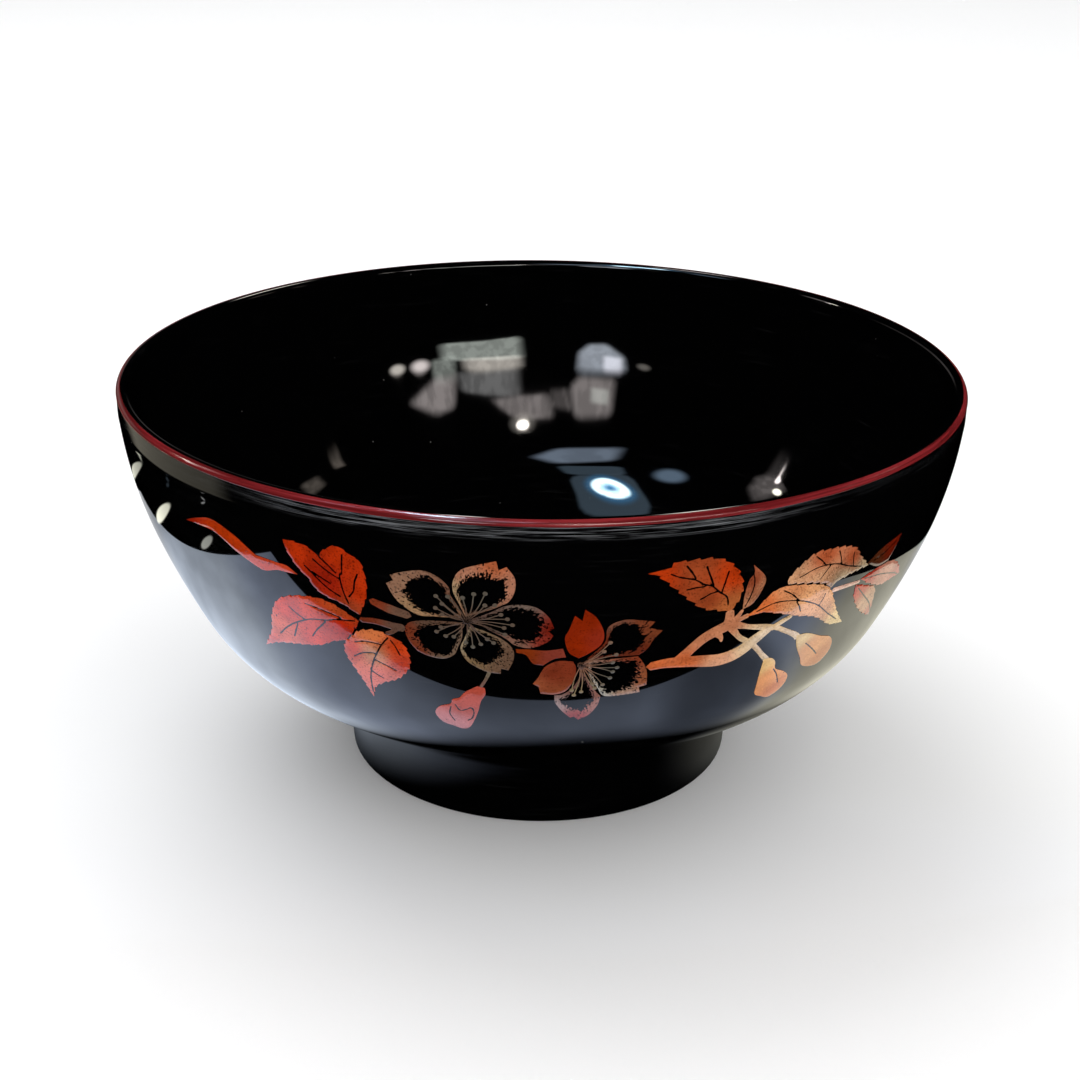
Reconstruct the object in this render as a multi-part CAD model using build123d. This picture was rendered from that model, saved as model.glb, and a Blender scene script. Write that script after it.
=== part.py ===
from build123d import *
import math
import os

# Lacquered wooden bowl with a painted cherry branch. Millimetres, +Z up, the origin in the middle
# of the circle that the foot stands on. The painted side faces -Y.
#
# The bowl is one turned wooden core with a coat of lacquer inside, one outside and one under the
# foot, a red line on the lip, and the painting: thin films of coloured lacquer and metal powder
# that stand a little proud of the outside coat.

# ---- driving dimensions -------------------------------------------------------------------------

COAT = 0.3                # thickness of the black lacquer on the wood
FILM = 0.10               # thickness of a painted film on the lacquer
STAMEN_FILM = 0.08        # stamens are painted over the petals, as a second film
LINE_FILM = 0.08          # how far the red line on the lip stands proud of the coats beside it

# Walls are chains of tangent arcs. A slope is the angle of the wall above level, in degrees.
# Each pair is (radius of the arc, slope where it ends).
OUTER_START = (37.8, 15.0)
OUTER_SLOPE = 18.0
OUTER_ARCS = [(55.0, 38.5), (33.0, 63.0), (150.0, 69.0), (72.0, 85.0)]
INNER_START = (0.0, 13.6)
INNER_SLOPE = 0.0
INNER_ARCS = [(130.0, 16.0), (51.5, 38.5), (30.0, 63.0), (160.0, 68.5), (67.8, 86.5)]

LIP_CENTRE = (73.8, 72.9)
LIP_RADIUS = 1.12         # rounded top edge, without the red line
BEAD_STEP = 0.18          # height of the small shoulder under the straight edge of the lip
LINE_LOW_Z = 73.05        # height where the red line starts, outside
LINE_END = 68.0           # how far round the lip it goes: 0 is the outside, 90 is the very top
LINE_BANDS = 6
LINE_SEAT = 0.006         # keeps the middle of each band out of the wood

FOOT_EDGE_INNER = 31.5    # the standing edge is a flat ring
FOOT_EDGE_OUTER = 35.9
FOOT_FLARE = 0.075        # how much the outside of the foot widens for each millimetre of height
FOOT_ROUND = 0.6
FOOT_HOLLOW = 5.0         # radius of the hollow where the foot meets the body
RECESS_TOP_RADIUS = 31.0
RECESS_DEPTH = 8.0
RECESS_FILLET = 1.5

# Cuts that share the coat out between inside, outside and foot run through these places.
RIM_REACH = 100.0         # a radius and height beyond the whole bowl
BELOW_FLOOR = -1.0        # a height under the standing edge
CUT_MARGIN = 0.01
MID_WALL = 1.0            # depth under the inside surface that is still in the wall everywhere
LIP_CUT = 0.5

# The painting is laid out on the unrolled wall as (u, s): u is the distance round the bowl,
# measured at WRAP_RADIUS from the middle of the painted side towards +X, and s is the distance
# up the outside wall from OUTER_START. A third value, TIP, marks a corner of an outline.
WRAP_RADIUS = 70.0
PAINT_LOW = 28.0
PAINT_HIGH = 69.4
PRISM_DEPTH = 7.0         # an outline is cut through the film this far in and out of the wall
TIP = True

# ---- walls --------------------------------------------------------------------------------------


def follow(start, slope, arcs, offset=0.0):
    """Ends of the arcs as (r, z, slope, radius), with the wall moved outwards by offset."""
    r, z = start
    a = math.radians(slope)
    ends = [(r + offset * math.sin(a), z - offset * math.cos(a), a, None)]
    for radius, end in arcs:
        b = math.radians(end)
        r += radius * (math.sin(b) - math.sin(a))
        z += radius * (math.cos(a) - math.cos(b))
        a = b
        ends.append((r + offset * math.sin(a), z - offset * math.cos(a), a, radius + offset))
    return ends


def split_at(low, high):
    """The outer wall's arcs between two distances up the wall: start, slope and arcs."""
    arcs = []
    start, first_slope = None, None
    slope = math.radians(OUTER_SLOPE)
    r, z = OUTER_START
    done = 0.0
    for radius, end in OUTER_ARCS:
        length = radius * (math.radians(end) - slope)
        a = slope + max(low - done, 0.0) / radius
        b = slope + min(high - done, length) / radius
        if a < b:
            if start is None:
                start = (
                    r + radius * (math.sin(a) - math.sin(slope)),
                    z + radius * (math.cos(slope) - math.cos(a)),
                )
                first_slope = math.degrees(a)
            arcs.append((radius, math.degrees(b)))
        turned = math.radians(end)
        r += radius * (math.sin(turned) - math.sin(slope))
        z += radius * (math.cos(slope) - math.cos(turned))
        slope = turned
        done += length
    return start, first_slope, arcs


def wall_point(u, s):
    """The point (u, s) of the unrolled outside wall, and the outward normal there."""
    start, slope, arcs = split_at(0.0, s)
    r, z, a, _ = follow(start, slope, arcs)[-1]
    turn = u / WRAP_RADIUS
    normal = Vector(math.sin(a) * math.sin(turn), -math.sin(a) * math.cos(turn), -math.cos(a))
    return Vector(r * math.sin(turn), -r * math.cos(turn), z), normal


def arc_edges(ends):
    """The wall's arcs as edges in the XZ plane."""
    edges = []
    for (r0, z0, a, _), (r1, z1, b, radius) in zip(ends, ends[1:]):
        middle = (a + b) / 2
        rm = r0 + radius * (math.sin(middle) - math.sin(a))
        zm = z0 + radius * (math.cos(a) - math.cos(middle))
        edges.append(ThreePointArc((r0, 0, z0), (rm, 0, zm), (r1, 0, z1)))
    return edges


def lines(*points):
    return [Line((r0, 0, z0), (r1, 0, z1)) for (r0, z0), (r1, z1) in zip(points, points[1:])]


def rectangle(r0, z0, r1, z1):
    """A rectangle in the XZ plane, used to cut sections."""
    return Face(Wire(lines((r0, z0), (r1, z0), (r1, z1), (r0, z1), (r0, z0))))


def foot_hollow():
    """Centre of the hollow between foot and body, and the directions in which it meets them."""
    radius, slope = OUTER_ARCS[0][0], math.radians(OUTER_SLOPE)
    body_r = OUTER_START[0] - radius * math.sin(slope)
    body_z = OUTER_START[1] + radius * math.cos(slope)
    scale = math.hypot(FOOT_FLARE, 1.0)
    along = (FOOT_FLARE / scale, 1.0 / scale)
    to_foot = (-1.0 / scale, FOOT_FLARE / scale)
    dr = FOOT_EDGE_OUTER - FOOT_HOLLOW * to_foot[0] - body_r
    dz = -FOOT_HOLLOW * to_foot[1] - body_z
    half = dr * along[0] + dz * along[1]
    rest = dr * dr + dz * dz - (radius + FOOT_HOLLOW) ** 2
    t = -half - math.sqrt(half * half - rest)
    centre = (body_r + dr + t * along[0], body_z + dz + t * along[1])
    reach = radius + FOOT_HOLLOW
    to_body = ((body_r - centre[0]) / reach, (body_z - centre[1]) / reach)
    return centre, to_foot, to_body


def bowl_section(inset):
    """Half section of the bowl, everywhere inset from the finished surface by the same amount."""
    centre, to_foot, to_body = foot_hollow()
    slope = math.degrees(math.asin(-to_body[0]))
    touch = tuple(c + FOOT_HOLLOW * d for c, d in zip(centre, to_body))
    outer = follow(touch, slope, OUTER_ARCS, -inset)
    inner = follow(INNER_START, INNER_SLOPE, INNER_ARCS, inset)
    hollow_radius = FOOT_HOLLOW + inset
    on_foot, on_body = [
        tuple(c + hollow_radius * d for c, d in zip(centre, way)) for way in (to_foot, to_body)
    ]
    halfway = math.atan2(to_foot[1] + to_body[1], to_foot[0] + to_body[0])
    in_hollow = (
        centre[0] + hollow_radius * math.cos(halfway),
        centre[1] + hollow_radius * math.sin(halfway),
    )
    recess_corner = (RECESS_TOP_RADIUS + inset, RECESS_DEPTH + inset)
    inner_corner = (FOOT_EDGE_INNER + inset, inset)
    outer_corner = (on_foot[0] - FOOT_FLARE * (on_foot[1] - inset), inset)
    lip_r, lip_z = LIP_CENTRE
    radius = LIP_RADIUS - inset
    top_r, top_z = outer[-1][:2]
    edges = lines(inner[0][:2], (0.0, recess_corner[1]), recess_corner, inner_corner, outer_corner, on_foot)
    edges.append(ThreePointArc(*[(r, 0, z) for r, z in (on_foot, in_hollow, on_body)]))
    edges += arc_edges(outer)
    edges += lines((top_r, top_z), (lip_r + radius, top_z + BEAD_STEP), (lip_r + radius, lip_z))
    lip = [(lip_r + radius, 0, lip_z), (lip_r, 0, lip_z + radius), (lip_r - radius, 0, lip_z)]
    edges.append(ThreePointArc(*lip))
    edges += lines((lip_r - radius, lip_z), inner[-1][:2])
    edges += arc_edges(inner)
    section = Face(Wire(edges))
    rounding = [
        (recess_corner, RECESS_FILLET - inset),
        (inner_corner, FOOT_ROUND),
        (outer_corner, FOOT_ROUND),
    ]
    for (r, z), corner_radius in rounding:
        corner = section.vertices().sort_by_distance(Vector(r, 0, z))[0]
        section = section.fillet_2d(corner_radius, [corner])
    return section


def spin(section):
    return revolve(section, Axis.Z, 360)


def turned_layers():
    """The wooden core and its three coats."""
    core = bowl_section(COAT)
    coat = bowl_section(0.0) - core - line_section(LIP_RADIUS - COAT - CUT_MARGIN)
    middle_of_edge = (FOOT_EDGE_INNER + FOOT_EDGE_OUTER) / 2
    under = rectangle(0.0, BELOW_FLOOR, middle_of_edge, RECESS_DEPTH + COAT + CUT_MARGIN)
    under += rectangle(0.0, BELOW_FLOOR, RIM_REACH, FOOT_ROUND)
    hollow = rectangle(0.0, RECESS_DEPTH + MID_WALL, LIP_CENTRE[0], RIM_REACH) - below_inner_wall()
    hollow += rectangle(LIP_CENTRE[0], LINE_LOW_Z + CUT_MARGIN, RIM_REACH, RIM_REACH)
    foot = coat & under
    inside = (coat - under) & hollow
    outside = (coat - under) - hollow
    return {
        "turned_core": spin(core),
        "foot_lacquer": spin(foot),
        "inner_lacquer": spin(inside),
        "outer_lacquer": spin(outside),
    }


def below_inner_wall():
    """The half plane under the middle of the wall, which keeps the outside coat out of the inside."""
    ends = follow(INNER_START, INNER_SLOPE, INNER_ARCS, offset=MID_WALL)
    top_r, top_z = ends[-1][:2]
    corner = (RIM_REACH, top_z + LIP_CUT)
    edges = arc_edges(ends)
    edges += lines((top_r, top_z), (top_r, top_z + LIP_CUT), corner, (RIM_REACH, 0.0))
    edges += lines((RIM_REACH, 0.0), (0.0, 0.0), ends[0][:2])
    return Face(Wire(edges))


def line_section(seat_radius):
    """Section of the red line, which lies on the bare wood of the lip between the two coats. Its
    rounding is a run of narrow straight bands, because a round ring this thin meshes badly."""
    lip_r, lip_z = LIP_CENTRE

    def bands(radius):
        first = math.asin((LINE_LOW_Z - lip_z) / radius)
        last = math.radians(LINE_END)
        turns = [first + (last - first) * k / LINE_BANDS for k in range(LINE_BANDS + 1)]
        return [(lip_r + radius * math.cos(turn), lip_z + radius * math.sin(turn)) for turn in turns]

    over = bands(LIP_RADIUS + LINE_FILM)
    under = bands(seat_radius)
    return Face(Wire(lines(*over, *reversed(under), over[0])))


# ---- painting -----------------------------------------------------------------------------------

# Large blossom: five petals round its centre, listed clockwise from the upper left.
LARGE_BLOSSOM_CENTRE = (-10.3, 57.2)
LARGE_PETALS = {
    "upper_left": [
        (-11.0, 57.7, TIP), (-15.0, 57.5), (-17.6, 57.5), (-19.9, 59.2), (-20.9, 60.6),
        (-21.7, 62.6, TIP), (-20.6, 63.3, TIP), (-21.0, 64.2, TIP), (-19.3, 64.9),
        (-16.3, 65.6), (-14.0, 64.7), (-12.6, 63.1), (-12.4, 61.7), (-11.3, 59.4),
    ],
    "top": [
        (-10.5, 58.0, TIP), (-11.3, 60.4), (-12.0, 62.4), (-11.9, 64.4), (-10.8, 66.3),
        (-8.2, 67.4), (-5.9, 68.1, TIP), (-5.6, 66.6, TIP), (-4.5, 67.2, TIP), (-3.4, 65.3),
        (-3.4, 63.2), (-4.2, 61.3), (-5.4, 60.4), (-7.6, 59.2),
    ],
    "right": [
        (-9.6, 57.6, TIP), (-7.0, 59.0), (-4.9, 60.3), (-2.7, 60.7), (-0.4, 60.2), (1.3, 58.5),
        (2.1, 56.4, TIP), (1.4, 55.7, TIP), (2.0, 54.9, TIP), (1.4, 53.8), (-0.2, 52.7),
        (-1.8, 52.3), (-3.6, 52.9), (-4.9, 54.2), (-7.2, 55.7),
    ],
    "bottom": [
        (-9.9, 56.2, TIP), (-10.9, 53.6), (-11.6, 51.7), (-11.3, 49.9), (-10.4, 48.4),
        (-8.1, 46.8), (-5.8, 46.4, TIP), (-5.7, 47.6, TIP), (-4.6, 47.3, TIP), (-3.8, 49.6),
        (-3.8, 51.9), (-5.2, 53.8), (-7.4, 55.2),
    ],
    "lower_left": [
        (-11.0, 56.8, TIP), (-14.5, 56.7), (-17.5, 56.3), (-19.3, 55.4), (-19.8, 53.8),
        (-19.3, 51.6), (-18.3, 49.9, TIP), (-16.6, 49.1), (-14.4, 48.9), (-12.7, 50.0),
        (-12.0, 51.6), (-11.2, 53.9),
    ],
}

# Small blossom, half turned away: two full petals and the lip of the cup on the left, then three.
SMALL_BLOSSOM_CENTRE = (6.3, 48.6)
SMALL_PETALS = {
    "top": [
        (5.9, 50.1, TIP), (4.4, 51.4), (3.7, 54.2), (4.2, 55.9), (4.6, 57.3), (5.0, 58.7, TIP),
        (6.1, 57.7, TIP), (6.4, 59.8, TIP), (8.1, 58.2), (9.3, 55.3), (9.1, 53.0), (7.5, 51.2),
    ],
    "lower_left": [
        (5.1, 49.4, TIP), (2.8, 49.5), (0.9, 48.2), (-0.1, 45.8), (-0.9, 44.3, TIP), (0.0, 43.6, TIP),
        (0.3, 42.0, TIP), (2.6, 41.8), (4.4, 42.8), (5.5, 45.6), (5.6, 47.9),
    ],
    "upper_right": [
        (7.2, 49.9, TIP), (8.3, 51.3), (9.6, 53.4), (9.9, 56.3), (12.1, 57.5), (14.6, 57.2),
        (16.7, 56.7, TIP), (15.9, 55.6, TIP), (18.0, 54.8, TIP), (16.9, 53.2), (16.1, 51.2),
        (15.0, 50.1, TIP), (11.0, 50.1),
    ],
    "right": [
        (7.4, 49.4, TIP), (11.2, 49.6), (14.9, 49.8, TIP), (16.0, 48.1), (16.8, 45.9),
        (17.2, 42.9, TIP), (16.0, 42.6, TIP), (16.3, 41.3, TIP), (13.0, 40.9), (10.4, 41.1),
        (9.2, 43.2), (7.7, 46.4),
    ],
    "bottom": [
        (6.4, 47.0, TIP), (5.9, 44.6), (4.8, 42.6), (3.6, 41.6, TIP), (2.5, 41.5, TIP), (2.7, 39.7),
        (3.9, 37.5), (5.3, 35.8, TIP), (5.9, 36.0, TIP), (6.7, 35.2, TIP), (8.3, 36.3), (9.6, 38.7),
        (9.9, 41.0, TIP), (8.7, 42.8), (7.2, 46.0),
    ],
    "cup": [
        (-3.4, 52.0, TIP), (-1.6, 52.0), (0.9, 51.8), (3.5, 52.2, TIP), (4.0, 50.4, TIP),
        (2.2, 50.0), (0.6, 48.6, TIP), (-0.9, 49.0), (-1.9, 50.8), (-3.3, 51.3, TIP),
    ],
}

LEAVES = {
    "leaf_two_lobed": [
        (-26.7, 55.6, TIP), (-29.3, 57.2), (-31.9, 58.0), (-33.6, 59.2), (-34.4, 60.7), (-36.1, 62.5),
        (-37.5, 65.0), (-37.9, 66.7, TIP), (-35.9, 66.8), (-33.7, 66.4), (-31.9, 65.1, TIP),
        (-31.3, 66.3), (-29.0, 67.6), (-26.6, 66.4), (-25.3, 65.4), (-24.8, 61.9), (-25.3, 58.9),
    ],
    "leaf_left": [
        (-27.1, 54.3, TIP), (-28.6, 55.3), (-31.0, 56.7), (-34.0, 57.2), (-38.7, 56.2), (-42.0, 54.1),
        (-44.3, 50.3), (-46.0, 46.4), (-49.6, 41.8, TIP), (-46.0, 43.7), (-41.8, 45.1), (-36.0, 46.7),
        (-32.9, 48.5), (-30.4, 49.5, TIP), (-28.7, 51.6), (-27.8, 52.9),
    ],
    "leaf_hanging": [
        (-22.0, 52.1, TIP), (-24.4, 53.0), (-26.2, 52.8), (-27.7, 52.1), (-29.2, 50.5), (-30.6, 49.0),
        (-31.1, 46.3), (-30.2, 42.8), (-29.3, 39.9), (-28.6, 36.6, TIP), (-27.6, 39.3), (-25.9, 40.8),
        (-22.6, 42.8), (-20.4, 45.6), (-19.9, 48.4), (-20.5, 50.9),
    ],
    "leaf_edge_on": [
        (-59.8, 63.4, TIP), (-56.1, 65.0), (-52.4, 65.9), (-48.0, 64.7), (-43.9, 62.3, TIP),
        (-40.0, 62.1), (-38.0, 62.0), (-36.3, 60.9, TIP), (-38.3, 60.8), (-40.0, 60.7),
        (-42.4, 59.9), (-44.0, 60.1), (-48.0, 61.7), (-52.0, 63.7), (-56.1, 63.8),
    ],
    "leaf_top_right": [
        (28.0, 56.9, TIP), (26.4, 57.3), (23.9, 58.1), (21.8, 59.8), (19.2, 62.3), (16.6, 64.9),
        (14.9, 65.6, TIP), (18.2, 66.3, TIP), (18.4, 67.1, TIP), (21.3, 67.2), (24.7, 67.0),
        (27.3, 65.6), (29.0, 63.3), (29.7, 60.3), (28.9, 57.5),
    ],
    "leaf_small_upright": [
        (30.4, 56.7, TIP), (30.2, 59.2), (30.5, 62.0), (31.2, 63.3), (30.8, 64.8, TIP), (33.1, 62.3),
        (33.2, 60.3), (32.0, 57.6),
    ],
    "leaf_right_front": [
        (31.0, 55.0, TIP), (32.8, 56.1), (34.2, 57.9), (35.7, 59.1), (37.4, 59.4, TIP), (40.5, 58.8),
        (44.9, 57.5), (47.2, 55.9), (49.0, 53.2), (51.2, 50.0), (54.6, 46.3, TIP), (50.6, 47.4),
        (47.0, 50.0), (44.6, 51.3), (41.5, 52.4), (38.0, 53.9), (34.4, 55.2, TIP),
    ],
    "leaf_right_behind": [
        (37.6, 59.7, TIP), (37.5, 60.6), (38.7, 62.2), (41.6, 64.2), (44.4, 64.2), (47.7, 63.8),
        (50.5, 62.7), (52.4, 60.5), (55.2, 57.9, TIP), (53.0, 57.9), (50.8, 57.7), (48.0, 57.2, TIP),
        (47.1, 56.3, TIP), (45.0, 57.8), (40.6, 59.1),
    ],
    "leaf_far_up": [
        (54.8, 58.3, TIP), (57.2, 59.9), (60.2, 60.7), (63.0, 61.1, TIP), (62.3, 58.9), (61.3, 56.6, TIP),
        (58.2, 56.6),
    ],
    "leaf_far_right": [
        (54.4, 55.4, TIP), (58.0, 56.1), (62.5, 56.0), (66.2, 54.2), (70.0, 50.5, TIP), (66.0, 50.9),
        (62.4, 51.2), (58.0, 53.2),
    ],
    "leaf_far_down": [
        (53.6, 54.6, TIP), (57.2, 53.1), (60.5, 51.5), (62.6, 48.2), (65.0, 43.4, TIP), (60.4, 46.0),
        (56.8, 49.0), (54.4, 52.0),
    ],
}

BUDS = {
    "bud_hanging": [
        (-9.7, 43.1, TIP), (-11.7, 41.5), (-12.9, 39.9), (-14.1, 39.3), (-14.6, 38.1), (-16.6, 37.1),
        (-17.6, 35.2), (-16.6, 33.0), (-14.8, 32.2), (-13.3, 31.6), (-12.0, 32.2), (-11.0, 34.1),
        (-10.0, 36.9), (-9.4, 39.3), (-8.5, 41.3), (-8.5, 42.8, TIP),
    ],
    "bud_lower": [
        (38.0, 43.9, TIP), (39.6, 43.6), (40.9, 42.4), (41.9, 40.3), (44.6, 38.6), (46.4, 36.8),
        (46.7, 34.4), (45.4, 32.7), (43.8, 32.3), (41.7, 33.4), (39.9, 34.6), (39.2, 37.0),
        (38.5, 40.3),
    ],
    "bud_upper": [
        (43.3, 47.5, TIP), (46.1, 47.0), (50.1, 44.9), (53.2, 43.5), (55.2, 41.2), (55.8, 38.8),
        (54.6, 36.8), (52.2, 36.9), (49.0, 38.4), (47.2, 40.9), (45.2, 43.6), (44.0, 45.7),
    ],
}

# Stems, each a list of (u, s, width) along its middle. The stems of one film are joined in it.
STEMS = {
    "twig_behind_upper": [[(-24.3, 58.8, 1.2), (-21.9, 57.9, 1.7), (-19.0, 57.1, 1.4)]],
    "twig_behind_lower": [
        [(-26.6, 54.7, 1.0), (-24.2, 54.9, 1.1), (-21.5, 54.5, 1.4), (-20.1, 54.4, 1.5)],
        [(-20.9, 54.3, 0.9), (-22.0, 53.2, 0.8), (-22.8, 52.8, 0.7)],
    ],
    "stalk_hanging": [[(-7.6, 46.5, 0.6), (-8.2, 44.9, 0.5), (-9.1, 43.0, 0.5)]],
    "branch": [
        [(17.2, 47.2, 1.8), (20.0, 47.5, 2.2), (24.0, 47.1, 2.4), (28.7, 46.4, 2.7), (32.0, 47.3, 2.9),
         (34.4, 49.5, 2.5), (36.6, 51.4, 1.7)],
        [(21.8, 47.9, 2.3), (23.4, 50.2, 1.9), (25.0, 52.0, 2.0), (27.0, 53.2, 2.2), (29.2, 54.2, 2.2)],
        [(27.0, 52.6, 1.4), (27.8, 51.6, 0.9), (28.1, 50.7, 0.4)],
        [(28.7, 54.0, 2.2), (28.5, 55.4, 1.5), (28.3, 56.7, 1.3)],
        [(29.2, 54.4, 1.2), (30.0, 55.6, 0.9), (30.4, 56.5, 0.5)],
        [(29.2, 54.0, 1.4), (30.6, 54.8, 0.9), (31.6, 55.2, 0.9)],
        [(28.9, 53.8, 1.6), (31.0, 51.0, 0.9), (33.1, 49.3, 1.0), (35.0, 47.6, 0.9), (37.0, 45.3, 0.9),
         (38.6, 43.6, 1.1)],
        [(29.2, 54.0, 1.6), (32.4, 52.7, 0.9), (37.4, 51.2, 1.2), (40.0, 49.7, 0.9), (42.6, 48.0, 0.9),
         (43.7, 47.0, 1.2)],
        [(37.0, 51.1, 1.2), (38.6, 52.0, 1.1), (40.2, 52.7, 0.8)],
    ],
    "twig_far": [[(47.9, 55.5, 0.9), (51.0, 55.3, 0.8), (54.2, 55.0, 0.6)]],
}

# What each stem runs behind.
STEMS_BEHIND = {
    "twig_behind_upper": ["large_blossom_petal_upper_left"],
    "twig_behind_lower": ["large_blossom_petal_lower_left", "leaf_hanging", "leaf_left"],
    "stalk_hanging": ["large_blossom_petal_bottom", "bud_hanging"],
    "branch": ["bud_lower", "bud_upper", "leaf_right_front", "leaf_top_right", "leaf_small_upright"],
    "twig_far": ["leaf_right_front", "leaf_far_right"],
}

# Stamens: filaments of two lengths in turn round the centre, each with a round anther on its end.
FILAMENT_WIDTH = 0.28
ANTHER_RADIUS = 0.38
LARGE_STAMENS = {"count": 24, "from": 0.0, "to": 360.0, "short": 4.3, "long": 5.6, "hub": 0.9}
SMALL_STAMENS = {"count": 14, "from": -108.0, "to": 48.0, "short": 4.4, "long": 5.6, "hub": 0.8}


def tangent_plane(centre):
    """The plane that touches the wall at (u, s), with its X axis level and its Z axis outwards."""
    origin, normal = wall_point(*centre)
    return Plane(origin=origin, x_dir=Vector(0, 0, 1).cross(normal), z_dir=normal)


def on_plane(plane, u, s):
    local = plane.to_local_coords(wall_point(u, s)[0])
    return local.X, local.Y


def runs(outline):
    """The outline cut at its corners into runs of points."""
    first = next(i for i, point in enumerate(outline) if len(point) > 2)
    turned = outline[first:] + outline[:first + 1]
    parts = [[turned[0]]]
    for point in turned[1:]:
        parts[-1].append(point)
        if len(point) > 2:
            parts.append([point])
    return parts[:-1]


def outline_face(outline, plane):
    """A closed outline on the unrolled wall as a face in the tangent plane."""
    edges = []
    for run in runs(outline):
        points = [on_plane(plane, point[0], point[1]) for point in run]
        edges.append(Line(*points) if len(points) == 2 else Spline(*points))
    return Face(Wire(edges))


def stem_outline(stem):
    """The outline of a stem of varying width."""
    left, right = [], []
    for i, (u, s, width) in enumerate(stem):
        before = stem[max(i - 1, 0)]
        after = stem[min(i + 1, len(stem) - 1)]
        du, ds = after[0] - before[0], after[1] - before[1]
        scale = width / 2 / math.hypot(du, ds)
        left.append((u - ds * scale, s + du * scale))
        right.append((u + ds * scale, s - du * scale))
    right.reverse()
    return [
        left[0] + (TIP,), *left[1:-1], left[-1] + (TIP,),
        right[0] + (TIP,), *right[1:-1], right[-1] + (TIP,),
    ]


def film_shell(low_offset, high_offset):
    """The layer between two heights over the painted part of the outside wall."""
    start, slope, arcs = split_at(PAINT_LOW, PAINT_HIGH)
    inner = follow(start, slope, arcs, low_offset)
    outer = follow(start, slope, arcs, high_offset)
    edges = arc_edges(inner) + arc_edges(outer)
    edges += lines(inner[0][:2], outer[0][:2]) + lines(inner[-1][:2], outer[-1][:2])
    return spin(Face(Wire(edges)))


def middle_of(points):
    us = [point[0] for point in points]
    ss = [point[1] for point in points]
    return (min(us) + max(us)) / 2, (min(ss) + max(ss)) / 2


def prism(faces, plane):
    """Faces of the tangent plane drawn out both ways, to cut a film from its shell."""
    solids = [extrude(plane * face, PRISM_DEPTH, dir=plane.z_dir, both=True) for face in faces]
    joined = solids[0]
    for solid in solids[1:]:
        joined += solid
    return joined


def outlined_prism(outline):
    plane = tangent_plane(middle_of(outline))
    return prism([outline_face(outline, plane)], plane)


def stem_prism(stems):
    plane = tangent_plane(middle_of([point for stem in stems for point in stem]))
    return prism([outline_face(stem_outline(stem), plane) for stem in stems], plane)


def stamen_prism(centre, stamens):
    plane = tangent_plane(centre)
    star = Circle(stamens["hub"])
    count = stamens["count"]
    for i in range(count):
        angle = stamens["from"] + (stamens["to"] - stamens["from"]) * (i + 0.5) / count
        length = stamens["long"] if i % 2 else stamens["short"]
        filament = Pos(length / 2, 0) * Rectangle(length, FILAMENT_WIDTH)
        anther = Pos(length, 0) * Circle(ANTHER_RADIUS)
        star += Rot(0, 0, angle) * (filament + anther)
    return prism([star], plane)


def painting():
    """Every painted film. A stem that runs behind a leaf, bud or petal is cut back to it."""
    shell = film_shell(0.0, FILM)
    prisms = {}
    for name, outline in LARGE_PETALS.items():
        prisms["large_blossom_petal_" + name] = outlined_prism(outline)
    for name, outline in SMALL_PETALS.items():
        prisms["small_blossom_petal_" + name] = outlined_prism(outline)
    for name, outline in {**LEAVES, **BUDS}.items():
        prisms[name] = outlined_prism(outline)
    for name, stems in STEMS.items():
        prisms[name] = stem_prism(stems)
        for front in STEMS_BEHIND.get(name, []):
            prisms[name] -= prisms[front]
    films = {name: shell & solid for name, solid in prisms.items()}
    over = film_shell(FILM, FILM + STAMEN_FILM)
    films["large_blossom_stamens"] = over & stamen_prism(LARGE_BLOSSOM_CENTRE, LARGE_STAMENS)
    films["small_blossom_stamens"] = over & stamen_prism(SMALL_BLOSSOM_CENTRE, SMALL_STAMENS)
    return films


def main():
    os.makedirs("parts", exist_ok=True)
    parts = turned_layers()
    parts["rim_line"] = spin(line_section(LIP_RADIUS - COAT + LINE_SEAT))
    parts.update(painting())
    for name, shape in parts.items():
        export_step(shape, os.path.join("parts", name + ".step"))


main()
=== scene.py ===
import math
import bpy
import numpy as np
from mathutils import Matrix, Vector
from mathutils.geometry import delaunay_2d_cdt


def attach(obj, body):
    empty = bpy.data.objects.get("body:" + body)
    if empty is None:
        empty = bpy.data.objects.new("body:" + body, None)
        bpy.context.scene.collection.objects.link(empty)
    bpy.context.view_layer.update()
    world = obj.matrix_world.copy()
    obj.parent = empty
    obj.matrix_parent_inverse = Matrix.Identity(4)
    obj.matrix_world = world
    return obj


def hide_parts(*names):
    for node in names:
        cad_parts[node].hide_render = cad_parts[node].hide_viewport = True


# Lacquered bowl with a painted cherry branch. The turned coats are dense smooth meshes made from the
# same arcs as the CAD model, and each painted motif is a thin film on the unrolled wall, with its
# own outline, veins, powder and colours. Lengths are in millimetres up to the moment that a mesh
# is made, and in metres from there on.

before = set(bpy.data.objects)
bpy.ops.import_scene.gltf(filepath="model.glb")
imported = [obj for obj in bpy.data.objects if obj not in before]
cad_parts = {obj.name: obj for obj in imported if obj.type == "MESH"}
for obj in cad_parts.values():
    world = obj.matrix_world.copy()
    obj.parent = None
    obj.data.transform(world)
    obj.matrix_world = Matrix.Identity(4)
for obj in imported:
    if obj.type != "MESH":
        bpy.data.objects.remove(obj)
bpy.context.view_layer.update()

MM = 0.001

# ---- the turned shape, as in the CAD model ------------------------------------------------------

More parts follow.
